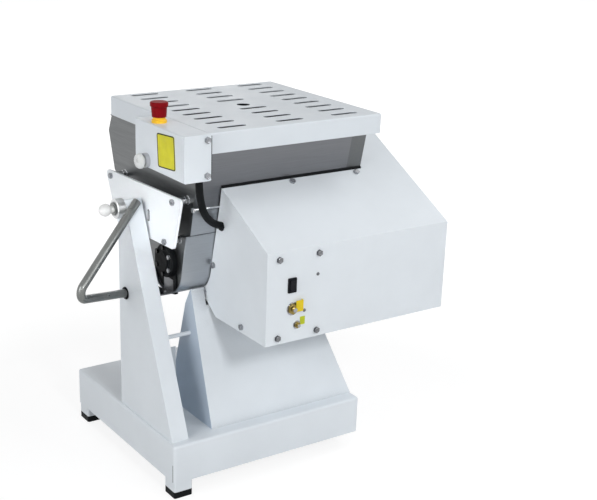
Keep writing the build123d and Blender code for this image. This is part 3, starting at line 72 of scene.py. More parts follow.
# Materials
class Nodes:
    """A material with a Principled shader, and short ways to add and join nodes."""

    NOISE_SPAN = (0.3, 0.7)
    TINT_SPAN = (0.35, 0.65)
    OPEN_SPAN = (0.30, 0.78)
    # Painted shade in corners: its blue tint and its samples
    PAINTED_SHADE_BLUE = 1.04
    PAINTED_SHADE_SAMPLES = 12

    def __init__(self, name, colour, rough, metallic=0.0, **sockets):
        self.material = bpy.data.materials.new(name)
        self.material.use_nodes = True
        self.tree = self.material.node_tree
        self.shader = self.tree.nodes["Principled BSDF"]
        self.colour = colour
        self.shader.inputs["Base Color"].default_value = (*colour, 1)
        self.shader.inputs["Roughness"].default_value = rough
        self.shader.inputs["Metallic"].default_value = metallic
        for socket, value in sockets.items():
            self.shader.inputs[socket.replace("_", " ")].default_value = value
        self.place = self.add("ShaderNodeTexCoord").outputs["Object"]

    def add(self, kind, **settings):
        node = self.tree.nodes.new(kind)
        for name, value in settings.items():
            setattr(node, name, value)
        return node

    def join(self, output, node_input):
        self.tree.links.new(output, node_input)

    def noise(self, scale, detail=4.0, rough=0.55, stretch=None):
        """Noise over the piece's own place; scale is per metre, stretch multiplies it along X, Y and Z."""
        node = self.add("ShaderNodeTexNoise")
        node.inputs["Scale"].default_value = scale
        node.inputs["Detail"].default_value = detail
        node.inputs["Roughness"].default_value = rough
        place = self.place
        if stretch:
            mapping = self.add("ShaderNodeMapping")
            mapping.inputs["Scale"].default_value = stretch
            self.join(place, mapping.inputs["Vector"])
            place = mapping.outputs["Vector"]
        self.join(place, node.inputs["Vector"])
        return node.outputs["Fac"]

    def ramp(self, value, low, high, low_colour, high_colour):
        """Colour that goes from one to the other as value goes from low to high."""
        node = self.add("ShaderNodeValToRGB")
        for element, position, colour in zip(node.color_ramp.elements, (low, high), (low_colour, high_colour)):
            element.position = position
            element.color = (*colour, 1)
        self.join(value, node.inputs["Fac"])
        return node.outputs["Color"]

    def span(self, value, from_low, from_high, low=0.0, high=1.0):
        """Value between low and high, as the given one goes from from_low to from_high."""
        node = self.add("ShaderNodeMapRange")
        node.inputs["From Min"].default_value = from_low
        node.inputs["From Max"].default_value = from_high
        node.inputs["To Min"].default_value = low
        node.inputs["To Max"].default_value = high
        self.join(value, node.inputs["Value"])
        return node.outputs["Result"]

    def tint(self, value, spread):
        """Base colour that varies by spread, a share of it, with value."""
        dark = [c * (1 - spread) for c in self.colour]
        light = [min(1.0, c * (1 + spread)) for c in self.colour]
        self.join(self.ramp(value, *self.TINT_SPAN, dark, light), self.shader.inputs["Base Color"])

    def painted_shade(self, left, depth, side):
        """Painted shade: darkens the base colour in corners up to that depth, down to the share that is left.

        Faces that look to -X get an even painted shade instead: there the colour is multiplied by side.
        """
        clean = self.shader.inputs["Base Color"].links[0].from_socket
        corners = self.add("ShaderNodeAmbientOcclusion", samples=self.PAINTED_SHADE_SAMPLES)
        corners.inputs["Distance"].default_value = depth
        dark = (left, left, left * self.PAINTED_SHADE_BLUE)
        share = self.ramp(corners.outputs["AO"], *self.OPEN_SPAN, dark, (1.0, 1.0, 1.0))
        facing = self.add("ShaderNodeVectorMath", operation="DOT_PRODUCT")
        facing.inputs[1].default_value = (-1, 0, 0)
        self.join(self.add("ShaderNodeNewGeometry").outputs["Normal"], facing.inputs[0])
        shade = self.add("ShaderNodeMix", data_type="RGBA")
        shade.inputs["B"].default_value = (*side, 1)
        self.join(facing.outputs["Value"], shade.inputs["Factor"])
        self.join(share, shade.inputs["A"])
        both = self.add("ShaderNodeMix", data_type="RGBA", blend_type="MULTIPLY")
        both.inputs["Factor"].default_value = 1.0
        self.join(clean, both.inputs["A"])
        self.join(shade.outputs["Result"], both.inputs["B"])
        self.join(both.outputs["Result"], self.shader.inputs["Base Color"])

    def rough(self, value, low, high):
        """Roughness between low and high, from a noise."""
        self.join(self.span(value, *self.NOISE_SPAN, low, high), self.shader.inputs["Roughness"])

    def bump(self, value, strength, depth):
        node = self.add("ShaderNodeBump")
        node.inputs["Strength"].default_value = strength
        node.inputs["Distance"].default_value = depth
        self.join(value, node.inputs["Height"])
        self.join(node.outputs["Normal"], self.shader.inputs["Normal"])


def paint(name, colour, rough=0.38, painted_shade=None):
    """Baked powder paint: a fine orange peel, and a slight change of tone over the sheet.

    Painted shade, if given, is the share of the colour that is left in corners, their depth in metres, and the
    painted shade of left sides.
    """
    m = Nodes(name, colour, rough, Specular_IOR_Level=0.25, Coat_Weight=0.05, Coat_Roughness=0.2)
    m.tint(m.noise(5.0, detail=5.0), spread=0.025)
    m.rough(m.noise(30.0, detail=3.0), rough - 0.05, rough + 0.08)
    m.bump(m.noise(750.0, detail=2.0), strength=0.10, depth=0.0004)
    if painted_shade:
        m.painted_shade(*painted_shade)
    return m.material


def brushed(name, colour, rough, along):
    """Brushed steel: fine scratches along one axis, 0 for X and 1 for Y, and cloudy changes of tone."""
    def across(times):
        return [1.0 if axis == along else times for axis in range(3)]

    m = Nodes(name, colour, rough, metallic=1.0)
    grain = m.noise(14.0, detail=6.0, rough=0.7, stretch=across(60.0))
    m.tint(grain, spread=0.06)
    m.rough(m.noise(9.0, rough=0.6, stretch=across(22.0)), rough - 0.08, rough + 0.1)
    m.bump(grain, strength=0.06, depth=0.0003)
    return m.material


def smeared(m, rough, grain):
    """Faint smears and a fine bump on bare metal; grain is the strength of the bump."""
    m.rough(m.noise(60.0), rough - 0.05, rough + 0.12)
    m.bump(m.noise(900.0, detail=2.0), grain, depth=0.0002)


def polished(name, colour, rough, grain=0.05):
    """Turned or polished metal."""
    m = Nodes(name, colour, rough, metallic=1.0)
    m.tint(m.noise(35.0), spread=0.08)
    smeared(m, rough, grain)
    return m.material


def black_behind(name, colour, rough, black, start, blend=0.002):
    """Plated metal whose colour turns black behind start, a place along Y; start and blend are in metres."""
    m = Nodes(name, colour, rough, metallic=1.0)
    axes = m.add("ShaderNodeSeparateXYZ")
    m.join(m.place, axes.inputs["Vector"])
    behind = m.span(axes.outputs["Y"], start - blend, start + blend)
    m.join(m.ramp(behind, 0.0, 1.0, colour, black), m.shader.inputs["Base Color"])
    smeared(m, rough, 0.05)
    return m.material


def moulded(name, colour, rough, grain=1400.0, depth=0.0002, shine=0.5):
    """Moulded plastic or rubber with a fine grain; shine is the specular level."""
    m = Nodes(name, colour, rough, Specular_IOR_Level=shine)
    m.tint(m.noise(45.0), spread=0.06)
    m.rough(m.noise(80.0, detail=3.0), rough - 0.06, rough + 0.08)
    m.bump(m.noise(grain, detail=2.0), strength=0.15, depth=depth)
    return m.material


PAINT_COLOUR = (0.745, 0.790, 0.830)
PLATING_COLOUR = (0.42, 0.43, 0.45)
BLACK_COLOUR = (0.006, 0.007, 0.008)
BLACK_BOLTS_START = 0.180  # metres behind the base's front
WHITE = paint("white_paint", PAINT_COLOUR)
# The pedestal's paint with painted shade: darker in its corners and on its left side
STAND_SHADED_WHITE = paint("stand_paint_shaded", PAINT_COLOUR, painted_shade=(0.30, 0.12, (0.70, 0.77, 0.86)))
# Darker copy of the white paint for the lid and the control box: painted shade
LID_SHADED_WHITE = paint("lid_paint_shaded", (0.700, 0.745, 0.785))
# Lighter copy of the white paint for the trunnion plate: painted light
PLATE_LIT_WHITE = paint("plate_paint_lit", (0.880, 0.915, 0.945))
# The stainless is set in lit and shaded copies: STEEL_X and STEEL_Y are darkened, painted shade and painted dark
# reflections on the wall and the end plates, and JACKET is lighter, painted light on the trough and the lower wall
STEEL_X = brushed("steel_along_x", (0.195, 0.200, 0.212), 0.36, along=0)
STEEL_Y = brushed("steel_along_y", (0.150, 0.157, 0.161), 0.38, along=1)
JACKET = brushed("steel_trough", (0.420, 0.440, 0.465), 0.36, along=0)
BRIGHT = polished("bright_steel", (0.195, 0.202, 0.198), 0.30, grain=0.012)
PLATED = polished("plated_steel", PLATING_COLOUR, 0.28)
DARK = polished("dark_steel", (0.125, 0.130, 0.140), 0.30)
BOLTS = black_behind("bearing_bolts", PLATING_COLOUR, 0.28, (0.008, 0.009, 0.010), corner.y + BLACK_BOLTS_START)
HUB = polished("hub_steel", (0.66, 0.67, 0.68), 0.36)
CAP = polished("screw_head", (0.30, 0.31, 0.33), 0.22)
HEAD = polished("bolt_head", (0.19, 0.195, 0.205), 0.26)
MID = polished("grey_steel", (0.34, 0.35, 0.37), 0.24)
SHINY = polished("shiny_steel", (0.74, 0.75, 0.77), 0.16, grain=0.02)
IRON = moulded("black_iron", BLACK_COLOUR, 0.55, grain=600.0, depth=0.0003, shine=0.08)
ALLOY = moulded("motor_alloy", (0.30, 0.32, 0.34), 0.5, grain=500.0, depth=0.0005)
BRASS = polished("brass", (0.25, 0.19, 0.06), 0.28)
RUBBER = moulded("black_rubber", BLACK_COLOUR, 0.55, shine=0.08)
BLACK = moulded("black_plastic", (0.008, 0.009, 0.012), 0.45, shine=0.12)
RED = moulded("red_plastic", (0.225, 0.004, 0.008), 0.45, shine=0.06)
YELLOW = moulded("yellow_plastic", (0.95, 0.56, 0.03), 0.34, shine=0.3)
TAG = moulded("tag_yellow", (0.65, 0.61, 0.022), 0.42, shine=0.2)
AMBER = moulded("tag_amber", (0.74, 0.55, 0.02), 0.42, shine=0.2)
LEAF = moulded("tag_green", (0.50, 0.56, 0.03), 0.42, shine=0.2)
KNOB = moulded("white_plastic", (0.83, 0.835, 0.83), 0.28)
START = moulded("start_cap", (0.62, 0.635, 0.64), 0.30)
GREY = moulded("grey_plastic", (0.36, 0.37, 0.40), 0.40, shine=0.3)

finishes = {
    WHITE: ["base_pan", "legs", "left_upright", "right_upright", "cross_rod", "cross_panel", "lid_lugs",
            "drive_cover"],
    STAND_SHADED_WHITE: ["pedestal"],
    LID_SHADED_WHITE: ["lid", "control_box", "box_front_cover"],
    PLATE_LIT_WHITE: ["trunnion_plate"],
    STEEL_X: ["bowl_wrap", "agitator_shaft", "agitator_arms"],
    STEEL_Y: ["left_end_plate", "right_end_plate", "rim_frame"],
    BRIGHT: ["grab_handle", "hinge_ears", "hinge_pins", "clamp_stud"],
    PLATED: ["plate_spacers", "left_journal", "right_journal", "box_spacers", "drive_plate",
             "drive_tray", "output_shaft", "control_plate", "pivot_bushes"],
    MID: ["plate_bolts", "drain_plug", "cover_screws"],
    DARK: ["panel_bolts"],
    HUB: ["pivot_hub"],
    BOLTS: ["bearing_bolts"],
    IRON: ["left_bearing", "right_bearing", "driven_pulley", "motor_pulley"],
    ALLOY: ["gearmotor"],
    BRASS: ["brass_studs"],
    RUBBER: ["rubber_feet", "shaft_seals", "drive_belt", "conduit"],
    BLACK: ["conduit_glands", "rocker_housing", "rocker", "contact_blocks"],
    RED: ["stop_button"],
    YELLOW: ["stop_ring"],
    TAG: ["box_tag", "stud_tags"],
    KNOB: ["ball_knob"],
    START: ["start_button"],
    GREY: ["start_ring"],
}
for material, names in finishes.items():
    for name in names:
        mesh = nodes[name].data
        mesh.materials.clear()
        mesh.materials.append(material)

# Ways to make the detail pieces; sizes are in millimetres
LEFT, FRONT, TOP = (-1, 0, 0), (0, -1, 0), (0, 0, 1)
DOME = (0.0, 0.35, 0.7, 0.92)
TIP_SHARE = 0.02


def mm(x=0.0, y=0.0, z=0.0):
    """Vector in metres from millimetres."""
    return Vector((x, y, z)) / 1000


def at(x, y, z):
    """Place from the base's left front corner."""
    return corner + mm(x, y, z)


def extent(name):
    """Lowest and highest corner of a CAD node from the base's left front corner."""
    return [(Vector(c) - corner) * 1000 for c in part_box(name)]


def piece(name, bm, material, body, sharp=40.0):
    """Makes a piece of a bmesh, in that material, that moves with that body."""
    bmesh.ops.recalc_face_normals(bm, faces=bm.faces)
    mesh = bpy.data.meshes.new(name)
    bm.to_mesh(mesh)
    bm.free()
    for polygon in mesh.polygons:
        polygon.use_smooth = True
    mesh.set_sharp_from_angle(angle=math.radians(sharp))
    mesh.materials.append(material)
    obj = bpy.data.objects.new(name, mesh)
    scene.collection.objects.link(obj)
    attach(obj, body)
    return obj


def frame_of(axis):
    """Two directions square to axis, and axis itself, as a rotation."""
    return Vector(axis).normalized().to_track_quat("Z", "X").to_matrix()


def angles(sides):
    return [math.tau * step / sides for step in range(sides)]


def bridge(bm, rings, sides):
    """Joins each ring of corners to the next; a ring may be one corner."""
    for low, high in zip(rings, rings[1:]):
        for step in range(sides):
            after = (step + 1) % sides
            corners = [low[step % len(low)], low[after % len(low)], high[after % len(high)], high[step % len(high)]]
            bm.faces.new([v for i, v in enumerate(corners) if v not in corners[:i]])


def turn(bm, place, axis, profile, sides=40):
    """Adds a turned form: profile is a list of (radius, along), along axis from place."""
    spin = frame_of(axis)
    rings = []
    for radius, along in profile:
        if radius == 0:
            rings.append([bm.verts.new(place + spin @ mm(z=along))])
            continue
        rings.append([
            bm.verts.new(place + spin @ mm(radius * math.cos(a), radius * math.sin(a), along)) for a in angles(sides)
        ])
    bridge(bm, rings, sides)


def tube(bm, path, radius, sides=14):
    """Adds a round bar with domed ends along a path of places."""
    r = radius / 1000
    first = (path[1] - path[0]).normalized()
    last = (path[-1] - path[-2]).normalized()
    dome = [(r * (1 - share), r * math.sqrt(1 - (1 - share) ** 2)) for share in DOME]
    stations = [(path[0] - first * past, width, first) for past, width in dome]
    for i, place in enumerate(path):
        along = (path[min(i + 1, len(path) - 1)] - path[max(i - 1, 0)]).normalized()
        stations.append((place, r, along))
    stations += [(path[-1] + last * past, width, last) for past, width in reversed(dome)]
    rings = []
    for place, width, along in stations:
        spin = frame_of(along) * max(width, r * TIP_SHARE)
        rings.append([bm.verts.new(place + spin @ Vector((math.cos(a), math.sin(a), 0))) for a in angles(sides)])
    bridge(bm, rings, sides)
    bm.faces.new(rings[0])
    bm.faces.new(rings[-1])


def slab(bm, outline, shift):
    """Adds a flat form: a closed outline of places, carried along by shift."""
    low = [bm.verts.new(p) for p in outline]
    high = [bm.verts.new(p + shift) for p in outline]
    bm.faces.new(low)
    bm.faces.new(high)
    for i in range(len(low)):
        j = (i + 1) % len(low)
        bm.faces.new((low[i], low[j], high[j], high[i]))


def rounded(width, height, radius, steps=6):
    """Outline of a rectangle with round corners about the origin, as pairs."""
    outline = []
    for cx, cy, start in ((1, 1, 0), (-1, 1, 90), (-1, -1, 180), (1, -1, 270)):
        for step in range(steps + 1):
            a = math.radians(start + 90 * step / steps)
            outline.append((
                cx * (width / 2 - radius) + radius * math.cos(a),
                cy * (height / 2 - radius) + radius * math.sin(a),
            ))
    return outline


def bevelled(obj, width, segments=2):
    """Rounds the sharp edges of a made piece."""
    bevel = obj.modifiers.new("edges", "BEVEL")
    bevel.width = width / 1000
    bevel.segments = segments
    bevel.limit_method = "ANGLE"
    bevel.angle_limit = math.radians(40)
    bevel.harden_normals = True


def centres(name):
    """Middle of each loose solid of a CAD node, with its lowest and highest corner, as places."""
    bm = bmesh.new()
    bm.from_mesh(nodes[name].data)
    bmesh.ops.remove_doubles(bm, verts=bm.verts, dist=1e-6)
    left = set(bm.verts)
    found = []
    while left:
        group, todo = [], [next(iter(left))]
        left.discard(todo[0])
        while todo:
            v = todo.pop()
            group.append(v.co.copy())
            for edge in v.link_edges:
                other = edge.other_vert(v)
                if other in left:
                    left.discard(other)
                    todo.append(other)
        low = Vector([min(c[i] for c in group) for i in range(3)])
        high = Vector([max(c[i] for c in group) for i in range(3)])
        found.append(((low + high) / 2, low, high))
    bm.free()
    return sorted(found, key=lambda f: tuple(round(c, 5) for c in f[0]))


def strip(bm, outer, inner, shift):
    """Adds a bent sheet: two lines of places, one on each side of it, carried along by shift."""
    lines = [[bm.verts.new(p + move) for p in line] for move in (Vector(), shift) for line in (outer, inner)]
    outer_low, inner_low, outer_high, inner_high = lines
    sides = ((outer_low, outer_high), (inner_low, inner_high), (outer_low, inner_low), (outer_high, inner_high))
    for i in range(len(outer) - 1):
        for one, other in sides:
            bm.faces.new((one[i], one[i + 1], other[i + 1], other[i]))
    for i in (0, -1):
        bm.faces.new((outer_low[i], outer_high[i], inner_high[i], inner_low[i]))


def block(bm, low, high):
    """Adds a box between two corners from the base's left front corner."""
    (x0, y0, z0), (x1, y1, z1) = low, high
    outline = [at(x0, y, z) for y, z in ((y0, z0), (y1, z0), (y1, z1), (y0, z1))]
    slab(bm, outline, mm(x=x1 - x0))


# The bowl across its shaft: behind the base's front and above the floor
KNEE = Vector((83.0, 657.0))
RIM = Vector((51.5, 803.0))
TROUGH = Vector((193.0, 514.0))
TROUGH_RADIUS = 77.5
SEAM_Z = 597.0
UNDER_COVER = 30.0
bowl_left = extent("left_end_plate")[0].x
bowl_right = extent("right_end_plate")[1].x
cover_low = extent("drive_cover")[0]
sheet_right = cover_low.x + UNDER_COVER

# Jacket sheet round the trough, from a seam on the front wall to the rear
JACKET_PAST_END = 10.0
JACKET_FACES = (1.2, -1.9)
JACKET_END = math.radians(328)
JACKET_STEPS = 48
to_knee = KNEE - TROUGH
touch = math.atan2(to_knee.y, to_knee.x) + math.acos(TROUGH_RADIUS / to_knee.length)
wall_out = Vector((math.cos(touch), math.sin(touch)))
wall_foot = TROUGH + wall_out * TROUGH_RADIUS
seam = KNEE + (wall_foot - KNEE) * (KNEE.y - SEAM_Z) / (KNEE.y - wall_foot.y)
jacket_x = bowl_left - JACKET_PAST_END


def jacket_line(offset):
    """Places along the jacket's left edge, moved off the trough's outside by offset."""
    line = [seam + wall_out * offset]
    for step in range(JACKET_STEPS + 1):
        a = touch + (JACKET_END - touch) * step / JACKET_STEPS
        line.append(TROUGH + Vector((math.cos(a), math.sin(a))) * (TROUGH_RADIUS + offset))
    return [at(jacket_x, p.x, p.y) for p in line]


bm = bmesh.new()
strip(bm, *[jacket_line(offset) for offset in JACKET_FACES], mm(x=sheet_right - jacket_x))
piece("trough_jacket", bm, JACKET, "bowl", 30)

# Skin of the front wall between the knee and the seam, in the lighter steel of the trough: painted light
SKIN_FACES = (0.7, -0.5)
SKIN_ABOVE_SEAM = 2.4
skin_foot = seam + (KNEE - seam).normalized() * SKIN_ABOVE_SEAM
skin = [
    [at(bowl_left, p.x, p.y) for p in (KNEE + wall_out * offset, skin_foot + wall_out * offset)]
    for offset in SKIN_FACES
]
bm = bmesh.new()
strip(bm, *skin, mm(x=sheet_right - bowl_left))
piece("wall_skin", bm, JACKET, "bowl", 30)

# Bead along the knee of the front wall, with its end plug
BEAD_RADIUS = 3.1
BEAD_PAST_END = 1.0
BEAD_UNDER_COVER = 8.0
PLUG = [(6.5, 0), (6.5, 2.4), (5.6, 3.6), (3.0, 4.2), (0, 4.4)]
bead_y, bead_z = KNEE.x - 1.6, KNEE.y + 5.0
bead = [at(x, bead_y, bead_z) for x in (bowl_left - BEAD_PAST_END, cover_low.x + BEAD_UNDER_COVER)]
bm = bmesh.new()
tube(bm, bead, BEAD_RADIUS)
turn(bm, at(bowl_left, bead_y, bead_z), LEFT, PLUG)
piece("knee_bead", bm, SHINY, "bowl")

# Seal between the cover's lip and the front wall: heights, and how far out of the wall
SEAL = [(704, 0.2), (712.5, 0.2), (713, 1.4), (711, 3.4), (706, 3.8)]
SEAL_INSET = 1.0


def wall_at(z, offset):
    """Place across the shaft on the upper front wall at height z, moved out from it by offset."""
    share = (z - KNEE.y) / (RIM.y - KNEE.y)
    return KNEE.x + (RIM.x - KNEE.x) * share - offset, z


seal_x = cover_low.x + SEAL_INSET
bm = bmesh.new()
slab(bm, [at(seal_x, *wall_at(z, offset)) for z, offset in SEAL], mm(x=bowl_right - seal_x))
piece("lip_seal", bm, RUBBER, "bowl")

# Shelf under the left bearing with a bolt head on it, and its stop block
SHELF_X = 54.0
SHELF_Y = (170.0, 214.0)
SHELF_Z = 437.0
SHELF_THICK = 3.0
SHELF_HIGH = 34.0
SHELF_BOLT = (76.0, 182.0)
SHELF_HEAD = [(8, 0), (8, 1.2), (6.6, 1.6), (6.6, 6.2), (5.6, 7), (0, 7)]
STOP_INSET = 4.0
STOP_LONG = 14.0
STOP_HIGH = 17.0
shelf_top = SHELF_Z + SHELF_THICK
bm = bmesh.new()
block(bm, (SHELF_X, SHELF_Y[0], SHELF_Z), (bowl_left, SHELF_Y[1], shelf_top))
block(bm, (bowl_left - SHELF_THICK, SHELF_Y[0], shelf_top), (bowl_left, SHELF_Y[1], SHELF_Z + SHELF_HIGH))
turn(bm, at(*SHELF_BOLT, shelf_top), TOP, SHELF_HEAD, 6)
bevelled(piece("bearing_shelf", bm, STEEL_X, "bowl"), 0.8)
bm = bmesh.new()
block(bm, (SHELF_X, SHELF_Y[0] + STOP_INSET, shelf_top),
      (SHELF_X + STOP_LONG, SHELF_Y[1] - STOP_INSET, SHELF_Z + STOP_HIGH))
bevelled(piece("stop_block", bm, RUBBER, "bowl"), 2.0, 3)

# Backing plate behind the left bearing
BACKING_Y, BACKING_Z = 208.0, 481.0
BACKING_THICK = 2.5
bm = bmesh.new()
slab(bm, [at(bowl_left, BACKING_Y + y, BACKING_Z + z) for y, z in rounded(104, 88, 8)], mm(x=-BACKING_THICK))
bevelled(piece("bearing_backing", bm, IRON, "bowl"), 0.6)

# Nuts and washers of the trunnion plate's bolts, against the bowl's end
SPACER_WASHER = [(10.0, 0.1), (10.0, 1.4), (9.4, 1.8), (8.1, 1.8)]
SPACER_NUT = [(8.4, 1.8), (9.4, 2.5), (9.4, 9.5), (8.6, 10.4), (8.1, 10.4)]
bm = bmesh.new()
for middle, low, high in centres("plate_spacers"):
    place = Vector((high.x, middle.y, middle.z))
    turn(bm, place, LEFT, SPACER_WASHER)
    turn(bm, place, LEFT, SPACER_NUT, 6)
piece("spacer_nuts", bm, SHINY, "bowl", 25)

# Dished tops on the bolt and screw heads
DISH = [(5.9, 0.05), (5.9, 0.5), (5.3, 0.9), (4.2, 0.7), (3.4, 0.25), (1.2, 0.35), (0, 0.6)]
SIDE_HEAD = 5.0


def caps(name, axis, solids, material):
    """Tops on the outer ends of solids, as centres gives them; axis points out of the heads, LEFT or FRONT."""
    bm = bmesh.new()
    for middle, low, high in solids:
        place = middle.copy()
        if axis == LEFT:
            place.x = low.x
        else:
            place.y = low.y
        turn(bm, place, axis, DISH, 28)
    piece(name, bm, material, "bowl", 25)


screws = centres("cover_screws")
side_x = at(cover_low.x - SIDE_HEAD, 0, 0).x
box_low = extent("control_box")[0]
caps("panel_bolt_tops", FRONT, centres("panel_bolts"), HEAD)
caps("plate_bolt_tops", LEFT, centres("plate_bolts"), CAP)
caps("side_screw_tops", LEFT, [screw for screw in screws if abs(screw[1].x - side_x) < 0.001], CAP)
caps("box_screw_tops", FRONT, [screw for screw in screws if screw[1].z * 1000 > box_low.z], CAP)

# Label plate on the control box, a little askew, with a raised rim
LABEL_Y, LABEL_Z = 64.0, 806.5
LABEL_WIDE, LABEL_HIGH = 76.0, 74.0
LABEL_CORNER = 6.0
LABEL_TURN = math.radians(-4.2)
LABEL_THICK = 0.7
LABEL_RIM = 2.5
RIM_CORNER = 4.0
RIM_START = 0.6
RIM_THICK = 0.5


def label_line(outline, out):
    """Places of an outline on the label, turned with it; out is how far off the box's side."""
    cos, sin = math.cos(LABEL_TURN), math.sin(LABEL_TURN)
    return [at(box_low.x - out, LABEL_Y + y * cos - z * sin, LABEL_Z + y * sin + z * cos) for y, z in outline]


label_outline = rounded(LABEL_WIDE, LABEL_HIGH, LABEL_CORNER)
rim_outline = rounded(LABEL_WIDE - 2 * LABEL_RIM, LABEL_HIGH - 2 * LABEL_RIM, RIM_CORNER)
bm = bmesh.new()
slab(bm, label_line(label_outline, 0), mm(x=-LABEL_THICK))
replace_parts(piece("label_plate", bm, TAG, "bowl"), "box_tag")
bm = bmesh.new()
rim_lines = [label_line(line + line[:1], RIM_START) for line in (label_outline, rim_outline)]
strip(bm, *rim_lines, mm(x=-RIM_THICK))
piece("label_rim", bm, BLACK, "bowl")

# Black strip, in the rubber finish, on the right edge of the box's front cover: painted shadow that the cover casts
# on the lid
EDGE_SHADOW = [(0.0, 0.2), (1.7, 0.2), (2.2, 0.7), (2.2, 3.2), (1.7, 3.8), (0.0, 3.8)]
EDGE_SHADOW_END = 4.0
shadow_low, shadow_high = extent("box_front_cover")
bm = bmesh.new()
slab(bm, [at(shadow_high.x + x, shadow_low.y + y, shadow_low.z + EDGE_SHADOW_END) for x, y in EDGE_SHADOW],
     mm(z=shadow_high.z - shadow_low.z - 2 * EDGE_SHADOW_END))
piece("box_edge_shadow", bm, RUBBER, "bowl")

# Conduit from the control box to the cover, one smooth bend between its glands
HOSE_RADIUS = 8.5
HOSE_IN_BOX = 6.0
HOSE_IN_COVER = 8.0
HOSE_DROP_Z = 700.0
HOSE_BEND = (-30.0, -4.0)
HOSE_BEND_Z = 628.0
entry, leave = [gland[0] for gland in sorted(centres("conduit_glands"), key=lambda gland: gland[0].z)]
conduit_curve = bpy.data.curves.new("conduit_hose", "CURVE")
conduit_curve.dimensions = "3D"
conduit_curve.resolution_u = 16
conduit_curve.bevel_depth = HOSE_RADIUS / 1000
conduit_curve.bevel_resolution = 6
conduit_curve.use_fill_caps = True
route = [
    leave + mm(z=HOSE_IN_BOX),
    Vector((leave.x, leave.y, HOSE_DROP_Z / 1000)),
    Vector((entry.x, entry.y, HOSE_BEND_Z / 1000)) + mm(*HOSE_BEND),
    entry + mm(x=HOSE_IN_COVER),
]
spline = conduit_curve.splines.new("NURBS")
spline.points.add(len(route) - 1)
for point, place in zip(spline.points, route):
    point.co = (*place, 1)
spline.order_u = 3
spline.use_endpoint_u = True
conduit_curve.materials.append(RUBBER)
hose = bpy.data.objects.new("conduit_hose", conduit_curve)
scene.collection.objects.link(hose)
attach(hose, "bowl")
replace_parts(hose, "conduit")

# Small dark rivets in the cover's front
RIVETS = ((296.0, 540.5), (262.5, 461.0))
RIVET = [(4.0, 0.1), (4.0, 0.6), (3.4, 1.4), (2.0, 1.9), (0, 2.1)]
bm = bmesh.new()
for x, z in RIVETS:
    turn(bm, at(x, cover_low.y, z), FRONT, RIVET, 24)
piece("cover_rivets", bm, DARK, "bowl")

# Brass studs on the cover's front, each a washer, a nut and a threaded end with a bright tip:
# place, the nut's and the thread's radius, and how far the thread reaches out
STUDS = ((230.0, 470.5, 13.0, 5.6, 12.0), (243.0, 430.5, 7.6, 4.2, 10.0))
NUT_FOOT, NUT_TOP = 1.5, 6.0
THREAD_PITCH = 1.0
THREAD_DEPTH = 0.6
brass, bright = bmesh.new(), bmesh.new()
for x, z, nut, thread, reach in STUDS:
    place = at(x, cover_low.y, z)
    washer = [(0, 0.05), (nut + 2.0, 0.05), (nut + 2.0, 1.1), (nut + 1.5, NUT_FOOT), (0, NUT_FOOT)]
    hexagon = [(0, NUT_FOOT), (nut - 0.9, NUT_FOOT), (nut, 2.2), (nut, 5.3), (nut - 0.9, NUT_TOP), (0, NUT_TOP)]
    root = thread - THREAD_DEPTH
    ridges = [(0, NUT_TOP)]
    along = NUT_TOP
    while along < reach - THREAD_PITCH / 2:
        ridges += [(root, along), (thread, along + 0.4), (thread, along + 0.6)]
        along += THREAD_PITCH
    ridges += [(root, reach), (0, reach)]
    tip = [(0, reach), (thread - 0.4, reach), (thread - 0.5, reach + 0.8), (0, reach + 1.5)]
    turn(bright, place, FRONT, washer)
    turn(brass, place, FRONT, hexagon, 6)
    turn(brass, place, FRONT, ridges, 24)
    turn(bright, place, FRONT, tip, 24)
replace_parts(piece("stud_nuts", brass, BRASS, "bowl", 25), "brass_studs")
piece("stud_tips", bright, MID, "bowl", 25)

# Tags at the studs: the upper one stands on its folded edge and rests on the nut, the lower one is flat
FOLD = [(236.0, 6.9), (236.0, 6.1), (254.2, 6.1), (254.2, 0.05), (255.0, 0.05), (255.0, 6.9)]
FOLD_Z = 463.5
FOLD_HIGH = 26.0
FLAT_X, FLAT_Z = 258.0, 438.0
FLAT_THICK = 0.8
bm = bmesh.new()
slab(bm, [at(x, cover_low.y - depth, FOLD_Z) for x, depth in FOLD], mm(z=FOLD_HIGH))
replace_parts(piece("stud_tag_upper", bm, AMBER, "bowl"), "stud_tags")
bm = bmesh.new()
slab(bm, [at(FLAT_X + x, cover_low.y, FLAT_Z + z) for x, z in rounded(13, 19, 1.5)], mm(y=-FLAT_THICK))
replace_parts(piece("stud_tag_lower", bm, LEAF, "bowl"), "stud_tags")

# Grommet where the handle's lower end enters the upright
GROMMET_PLACE = (7.0, 243.0, 431.0)
GROMMET = [(10.3, 0.1), (15.0, 0.1), (15.2, 1.6), (14.2, 3.4), (12.0, 4.0), (10.3, 3.6)]
bm = bmesh.new()
turn(bm, at(*GROMMET_PLACE), LEFT, GROMMET)
piece("handle_grommet", bm, RUBBER, "stand")

# Weld line across the upright's web, rising to the front
WELD_X = 7.2
WELD_REAR, WELD_FRONT, WELD_STEP = 226, 150, 6
WELD_Z = 438.0
WELD_RISE = 0.45
WELD_RADIUS = 0.9
weld = [at(WELD_X, y, WELD_Z + (WELD_REAR - y) * WELD_RISE) for y in range(WELD_REAR, WELD_FRONT, -WELD_STEP)]
bm = bmesh.new()
tube(bm, weld, WELD_RADIUS, 10)
piece("web_weld", bm, WHITE, "stand")

# Open seam at the base's left front corner
bm = bmesh.new()
block(bm, (-0.25, 5.6, 42), (0.6, 7.4, 86))
piece("corner_seam", bm, DARK, "stand")

# Folded edge on the pedestal's horn
HORN = [(135.2, 446.0), (138.6, 446.0), (138.8, 452.4), (137.9, 453.6), (136.3, 453.6), (135.2, 452.4)]
HORN_X = 121.2
HORN_LONG = 33.6
bm = bmesh.new()
slab(bm, [at(HORN_X, y, z) for y, z in HORN], mm(x=HORN_LONG))
piece("horn_edge", bm, STAND_SHADED_WHITE, "stand")

